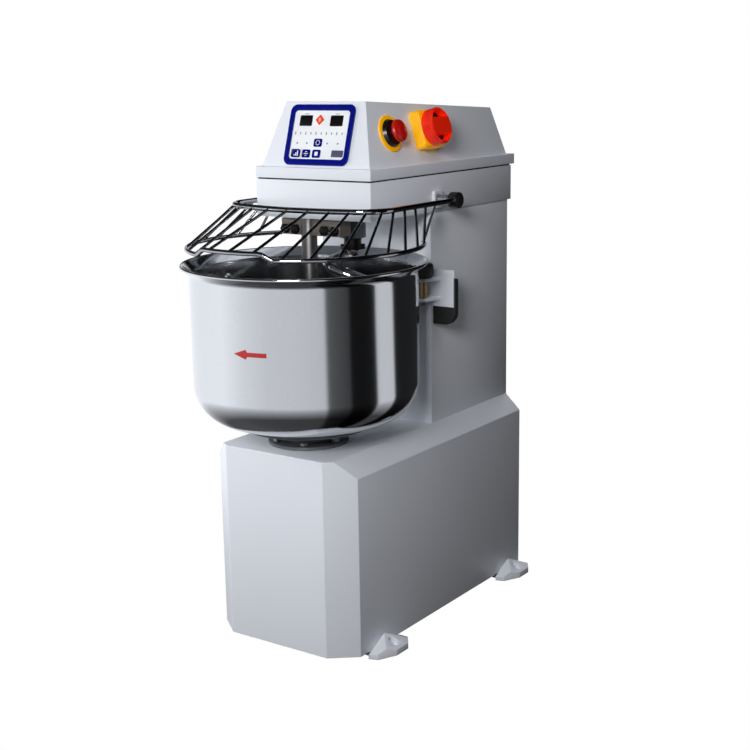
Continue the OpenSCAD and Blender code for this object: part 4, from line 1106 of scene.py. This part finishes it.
@dataclass
class Bowl:
    """Spun stainless bowl with a flared, beaded lip, on its turntable."""

    shop: Shop
    wall_r: float = 200 * MM
    knuckle: float = 70 * MM
    sheet: float = 2 * MM
    lip_out: float = 13 * MM
    lip_h: float = 17 * MM
    bead_r: float = 3 * MM
    steps: int = 200
    arrow_from: float = -71.0
    arrow_to: float = -88.5
    arrow_z: tuple[float, float] = (553 * MM, 571 * MM)

    def build(self) -> None:
        """Spins the bowl, lays the arrow on it and eases what carries it."""
        self.bowl()
        self.arrow()
        self.shop.ease("turntable", "turntable_disc", 1.0 * MM)
        self.shop.ease("turntable_housing", "turntable_bearing_case", 1.0 * MM)

    def bowl(self) -> None:
        """Draws the wall's outline, out and back in, and spins it."""
        box = node_box("bowl")
        low, top = box.low.z, box.high.z
        wall, knuckle, sheet = self.wall_r, self.knuckle, self.sheet
        bead = (wall + self.lip_out, top - self.bead_r)
        foot = top - self.lip_h
        outline = [(0.0, low), ((wall - knuckle) * 0.6, low)]
        outline += arc((wall - knuckle, low + knuckle), knuckle, -90, 0, 24)
        outline += [(wall, foot - 40 * MM), (wall, foot - 4 * MM), (wall + 0.8 * MM, foot)]
        outline += [(wall + 5 * MM, foot + 5.6 * MM)]
        outline += arc(bead, self.bead_r, -50, 150, 12)
        outline += [(wall + 3.2 * MM, foot + 6.6 * MM), (wall - 1.2 * MM, foot + 1.2 * MM)]
        outline += [(wall - sheet, foot - 4 * MM), (wall - sheet, foot - 40 * MM)]
        outline += arc((wall - knuckle, low + knuckle), knuckle - sheet, 0, -90, 24)
        outline += [((wall - knuckle) * 0.6, low + sheet), (0.0, low + sheet)]
        piece = lathe("mixing_bowl", outline, self.steps)
        move(piece, (0, box.centre.y, 0))
        self.shop.deliver(piece, "bowl")

    def arrow(self) -> None:
        """Cuts a turning arrow from thin film and bends it round the wall."""
        centre = node_box("bowl").centre
        low, high = self.arrow_z
        middle, tall = (low + high) / 2, (high - low) / 2
        radius = self.wall_r + 0.15 * MM
        shaft, head = 0.42 * tall, 0.42
        count = 26
        points, faces = [], []
        for i in range(count + 1):
            share = i / count
            turn = math.radians(self.arrow_from + (self.arrow_to - self.arrow_from) * share)
            half = shaft if share < 1 - head else tall * max(0.01, (1 - share) / head)
            for z in (middle - half, middle + half):
                points.append((radius * math.cos(turn), centre.y + radius * math.sin(turn), z))
            if i:
                faces.append((2 * i - 2, 2 * i - 1, 2 * i + 1, 2 * i))
        piece = drawn("turning_arrow", points, faces=faces)
        with editing(piece):
            bpy.ops.mesh.normals_make_consistent(inside=False)
        apply_modifier(piece, "SOLIDIFY", thickness=0.1 * MM, offset=0)
        smooth(piece, 40)
        self.shop.deliver(piece, "bowl", Print.ARROW_RED.value, False)


@dataclass
class HookDrive:
    """Spiral hook on its spindle, and the breaker post beside it."""

    shop: Shop
    bar_r: float = 11 * MM
    sweep_r: float = 52 * MM
    turns: float = 1.5
    start: float = 200.0
    shank_end: float = 690 * MM
    steps: int = 260

    def build(self) -> None:
        """Builds the hook, its coupling and pin, the post and its clamp."""
        self.hook()
        shop = self.shop
        shop.ease("hook_coupling", "hook_collar", 1.2 * MM, 3)
        shop.ease("hook_pin", "hook_cross_pin", 0.8 * MM)
        satin, warm = Print.SATIN.value, Print.WARM_CAST.value
        shop.ease("breaker_post", "dough_post", 1.2 * MM, 3, finish=satin)
        shop.ease("post_bracket", "post_block", 1.0 * MM, finish=warm)
        shop.ease("post_clamp", "post_clamp_plate", 1.0 * MM, finish=warm)
        shop.ease("post_bolts", "clamp_bolts", 0.6 * MM)
        shop.ease("spindle_housing", "spindle_case", 1.0 * MM)

    def line(self, t: float) -> Point:
        """Returns the hook's centre line, from the shank at 0 to its lower end at 1."""
        box = node_box("spiral_hook")
        floor = box.low.z + self.bar_r

        def ease(u: float) -> float:
            """Smooth step from 0 to 1."""
            u = min(1.0, max(0.0, u))
            return u * u * (3 - 2 * u)

        turn = math.radians(self.start + 360 * self.turns * max(0.0, t - 0.05))
        radius = self.sweep_r * ease(t / 0.16) * (1 - 0.62 * ease((t - 0.82) / 0.18))
        fall = 0.35 * t + 1.3 * ease(t / 2)
        axis = node_box("spindle").centre
        z = self.shank_end - (self.shank_end - floor) * fall
        return (axis.x + radius * math.cos(turn), axis.y + radius * math.sin(turn), z)

    def hook(self) -> None:
        """Sweeps the bar from the coupling down, with a rounded lower end."""
        axis = node_box("spindle").centre
        top = node_box("spiral_hook").high.z
        line = [(axis.x, axis.y, top), (axis.x, axis.y, self.shank_end + 6 * MM)]
        line += [self.line(i / self.steps) for i in range(self.steps + 1)]
        self.shop.deliver(wire("dough_hook", line, self.bar_r, 10, 7), "spiral_hook")


@dataclass
class BowlGuides:
    """Rollers that steady the bowl's wall, with their brackets."""

    shop: Shop
    bush_r: float = 12 * MM

    def build(self) -> None:
        """Eases the CAD pieces and adds the bronze bushes on the axles."""
        shop = self.shop
        shop.ease("roller_brackets", "guide_brackets", 0.9 * MM)
        shop.ease("roller_buffers", "guide_buffers", 1.6 * MM, 3)
        for side in ("right", "left"):
            shop.ease(f"guide_roller_{side}", f"bowl_roller_{side}", 1.0 * MM, 3)
        arm_low = node_box("roller_pins").low.z + 8 * MM + 6 * MM
        bushes = []
        for side in ("right", "left"):
            centre = node_box(f"guide_roller_{side}").centre
            outline = [(11.05 * MM, 0.4 * MM), (self.bush_r, 1 * MM), (self.bush_r, 28.6 * MM)]
            outline += [(11.05 * MM, 29.4 * MM)]
            bush = lathe("bush", outline, 40, closed=True)
            bushes.append(move(bush, (centre.x, centre.y, arm_low)))
        shop.trim("guide_bushes", bushes, "roller_pins", Print.BRONZE.value)


# ------------------------------------------------------------------ studio


@dataclass
class Studio:
    """Camera, white surroundings and soft light.

    The surroundings get brighter and darker with the direction they are seen in, which gives the bowl
    its bright and dark bands. A direction is an angle from the machine's right, turning to its back.
    """

    camera_at: Point = (1.4381, -1.9984, 1.0087)
    azimuth: float = 34.98
    pitch: float = -12.64
    roll: float = -0.9
    lens: float = 64.87
    floor_r: float = 9.0
    aim_at: Point = (0, 0, 0.6)
    for_mirrors: float = 1.25
    for_paint: float = 0.22
    sky_share: float = 0.03
    horizon: tuple[float, float] = (0.02, 0.2)
    # Painted shade on the floor round the machine: its light is dimmed inside floor_fade.
    floor_fade: tuple[float, float] = (0.5, 1.25)
    floor_near: float = 0.08
    bands: tuple = (
        (-180, 0.95),
        (-140, 1.0),
        (-115, 0.8),
        (-90, 0.68),
        (-60, 0.64),
        (-35, 0.58),
        (-32, 0.1),
        (-11, 0.05),
        (-9, 0.008),
        (18, 0.008),
        (20, 0.62),
        (41, 0.62),
        (43, 0.012),
        (109, 0.02),
        (113, 0.9),
        (180, 0.95),
    )

    def build(self) -> None:
        """Sets up everything that isn't part of the machine."""
        self.camera()
        self.floor()
        self.sky()
        self.lamp("key_light", (1.15, -2.8, 1.7), (0.9, 0.7), 57.0, seen=True)
        self.lamp("left_light", (-3.0, -1.1, 1.1), (1.6, 1.4), 85.0)
        self.lamp("side_light", (1.5, -0.5, 2.6), (1.0, 1.4), 7.0)
        self.lamp("rear_light", (-0.9, 3.2, 2.1), (1.6, 1.2), 55.0)
        bpy.context.scene.view_settings.view_transform = "Standard"

    def camera(self) -> None:
        """Places the camera, with no shift and no depth of field."""
        data = bpy.data.cameras.new("camera")
        data.sensor_width = 36.0
        data.lens = self.lens
        data.clip_end = 60.0
        camera = add_object("camera", data)
        turn = (
            Matrix.Rotation(math.radians(self.azimuth), 4, "Z")
            @ Matrix.Rotation(math.radians(90 + self.pitch), 4, "X")
            @ Matrix.Rotation(math.radians(self.roll), 4, "Z")
        )
        camera.matrix_world = Matrix.Translation(Vector(self.camera_at)) @ turn
        bpy.context.scene.camera = camera

    def glow(self, tree: Tree, direction) -> tuple:
        """Works out how bright the surroundings are for a direction.

        Args:
            tree: the node tree.
            direction: the output that holds the direction.

        Returns:
            The brightness output and the light path node.
        """
        parts = add_node(tree, "SeparateXYZ", links={"Vector": direction})
        turn = add_node(
            tree, "Math", {"operation": "ARCTAN2"}, {0: parts.outputs["Y"], 1: parts.outputs["X"]}
        )
        share = remap(tree, turn.outputs[0], (-math.pi, math.pi), (0.0, 1.0))
        stops = [((degrees + 180) / 360, (value, value, value, 1.0)) for degrees, value in self.bands]
        band = ramp(tree, share, stops)
        path = add_node(tree, "LightPath")
        low_and_high = (self.for_mirrors, self.for_mirrors * self.sky_share)
        height = remap(tree, parts.outputs["Z"], self.horizon, low_and_high)
        level = remap(tree, path.outputs["Is Glossy Ray"], (0.0, 1.0), (self.for_paint, height))
        both = add_node(tree, "Math", {"operation": "MULTIPLY"}, {0: band, 1: level})
        return both.outputs[0], path

    def floor(self) -> None:
        """Lays a round white floor that lights the machine from below like its surroundings, with painted
        shade: its light is dimmed round the machine.
        """
        bpy.ops.object.select_all(action="DESELECT")
        bpy.ops.mesh.primitive_circle_add(
            vertices=96, radius=self.floor_r, fill_type="NGON", location=(0, 0, 0)
        )
        floor = bpy.context.object
        floor.name = "floor"
        material = bpy.data.materials.new("white_floor")
        material.use_nodes = True
        tree = material.node_tree
        tree.nodes.clear()
        spot = add_node(tree, "TexCoord").outputs["Object"]
        shift_back = add_node(
            tree, "Mapping", {"Location": (0, -node_box("bowl").centre.y, 0)}, {"Vector": spot}
        )
        brightness, path = self.glow(tree, shift_back.outputs["Vector"])
        # The floor's light falls to a low level near the bowl: painted shade round the machine, which only
        # the machine sees, not the camera.
        reach = add_node(tree, "VectorMath", {"operation": "LENGTH"}, {0: shift_back.outputs["Vector"]})
        shade_near_machine = remap(tree, reach.outputs["Value"], self.floor_fade, (self.floor_near, 1.0))
        shade = add_node(tree, "Math", {"operation": "MULTIPLY"}, {0: brightness, 1: shade_near_machine})
        self.white_to_camera(tree, "Emission", "OutputMaterial", shade.outputs[0], path)
        floor.data.materials.append(material)

    def sky(self) -> None:
        """Lights softly from all round and shows the camera a white backdrop."""
        world = bpy.data.worlds.new("studio")
        bpy.context.scene.world = world
        world.use_nodes = True
        tree = world.node_tree
        tree.nodes.clear()
        brightness, path = self.glow(tree, add_node(tree, "TexCoord").outputs["Generated"])
        self.white_to_camera(tree, "Background", "OutputWorld", brightness, path)

    def white_to_camera(self, tree: Tree, kind: str, end: str, strength, path) -> None:
        """Lights with a given strength, but shows the camera plain white.

        Args:
            tree: the node tree.
            kind: the kind of shader that gives the light.
            end: the kind of output node.
            strength: the output that holds the strength.
            path: the light path node.
        """
        soft = add_node(tree, kind, {"Color": linear(STUDIO_WHITE)}, {"Strength": strength})
        white = add_node(tree, kind, {"Color": WHITE, "Strength": 1.0})
        links = {0: path.outputs["Is Camera Ray"], 1: soft.outputs[0], 2: white.outputs[0]}
        mix = add_node(tree, "MixShader", links=links)
        add_node(tree, end, links={"Surface": mix.outputs[0]})

    def lamp(
        self, name: str, spot: Point, size: tuple[float, float], watts: float, seen: bool = False
    ) -> None:
        """Adds one area light aimed at the machine's middle.

        Args:
            name: the light's name.
            spot: its place.
            size: its width and height.
            watts: its power.
            seen: whether it shows in reflections.
        """
        data = bpy.data.lights.new(name, "AREA")
        data.shape = "RECTANGLE"
        data.size, data.size_y = size
        data.energy = watts
        lamp = add_object(name, data)
        lamp.visible_glossy = seen
        aim = Vector(self.aim_at) - Vector(spot)
        turn = aim.to_track_quat("-Z", "Y").to_matrix().to_4x4()
        lamp.matrix_world = Matrix.Translation(Vector(spot)) @ turn


# ------------------------------------------------------------------ run


def main() -> None:
    """Builds the looks of every sub-assembly, in order."""
    logging.basicConfig(level=logging.INFO, format="%(message)s")
    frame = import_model()
    shop = Shop(frame)
    shop.dress_frame()
    Studio().build()
    head = Head(shop)
    for assembly in (
        Cabinet(shop),
        head,
        ControlPanel(shop, head),
        Switches(shop, head),
        Guard(shop),
        Bowl(shop),
        HookDrive(shop),
        BowlGuides(shop),
    ):
        LOG.info("building %s", type(assembly).__name__)
        assembly.build()


if __name__ == "__main__":
    main()
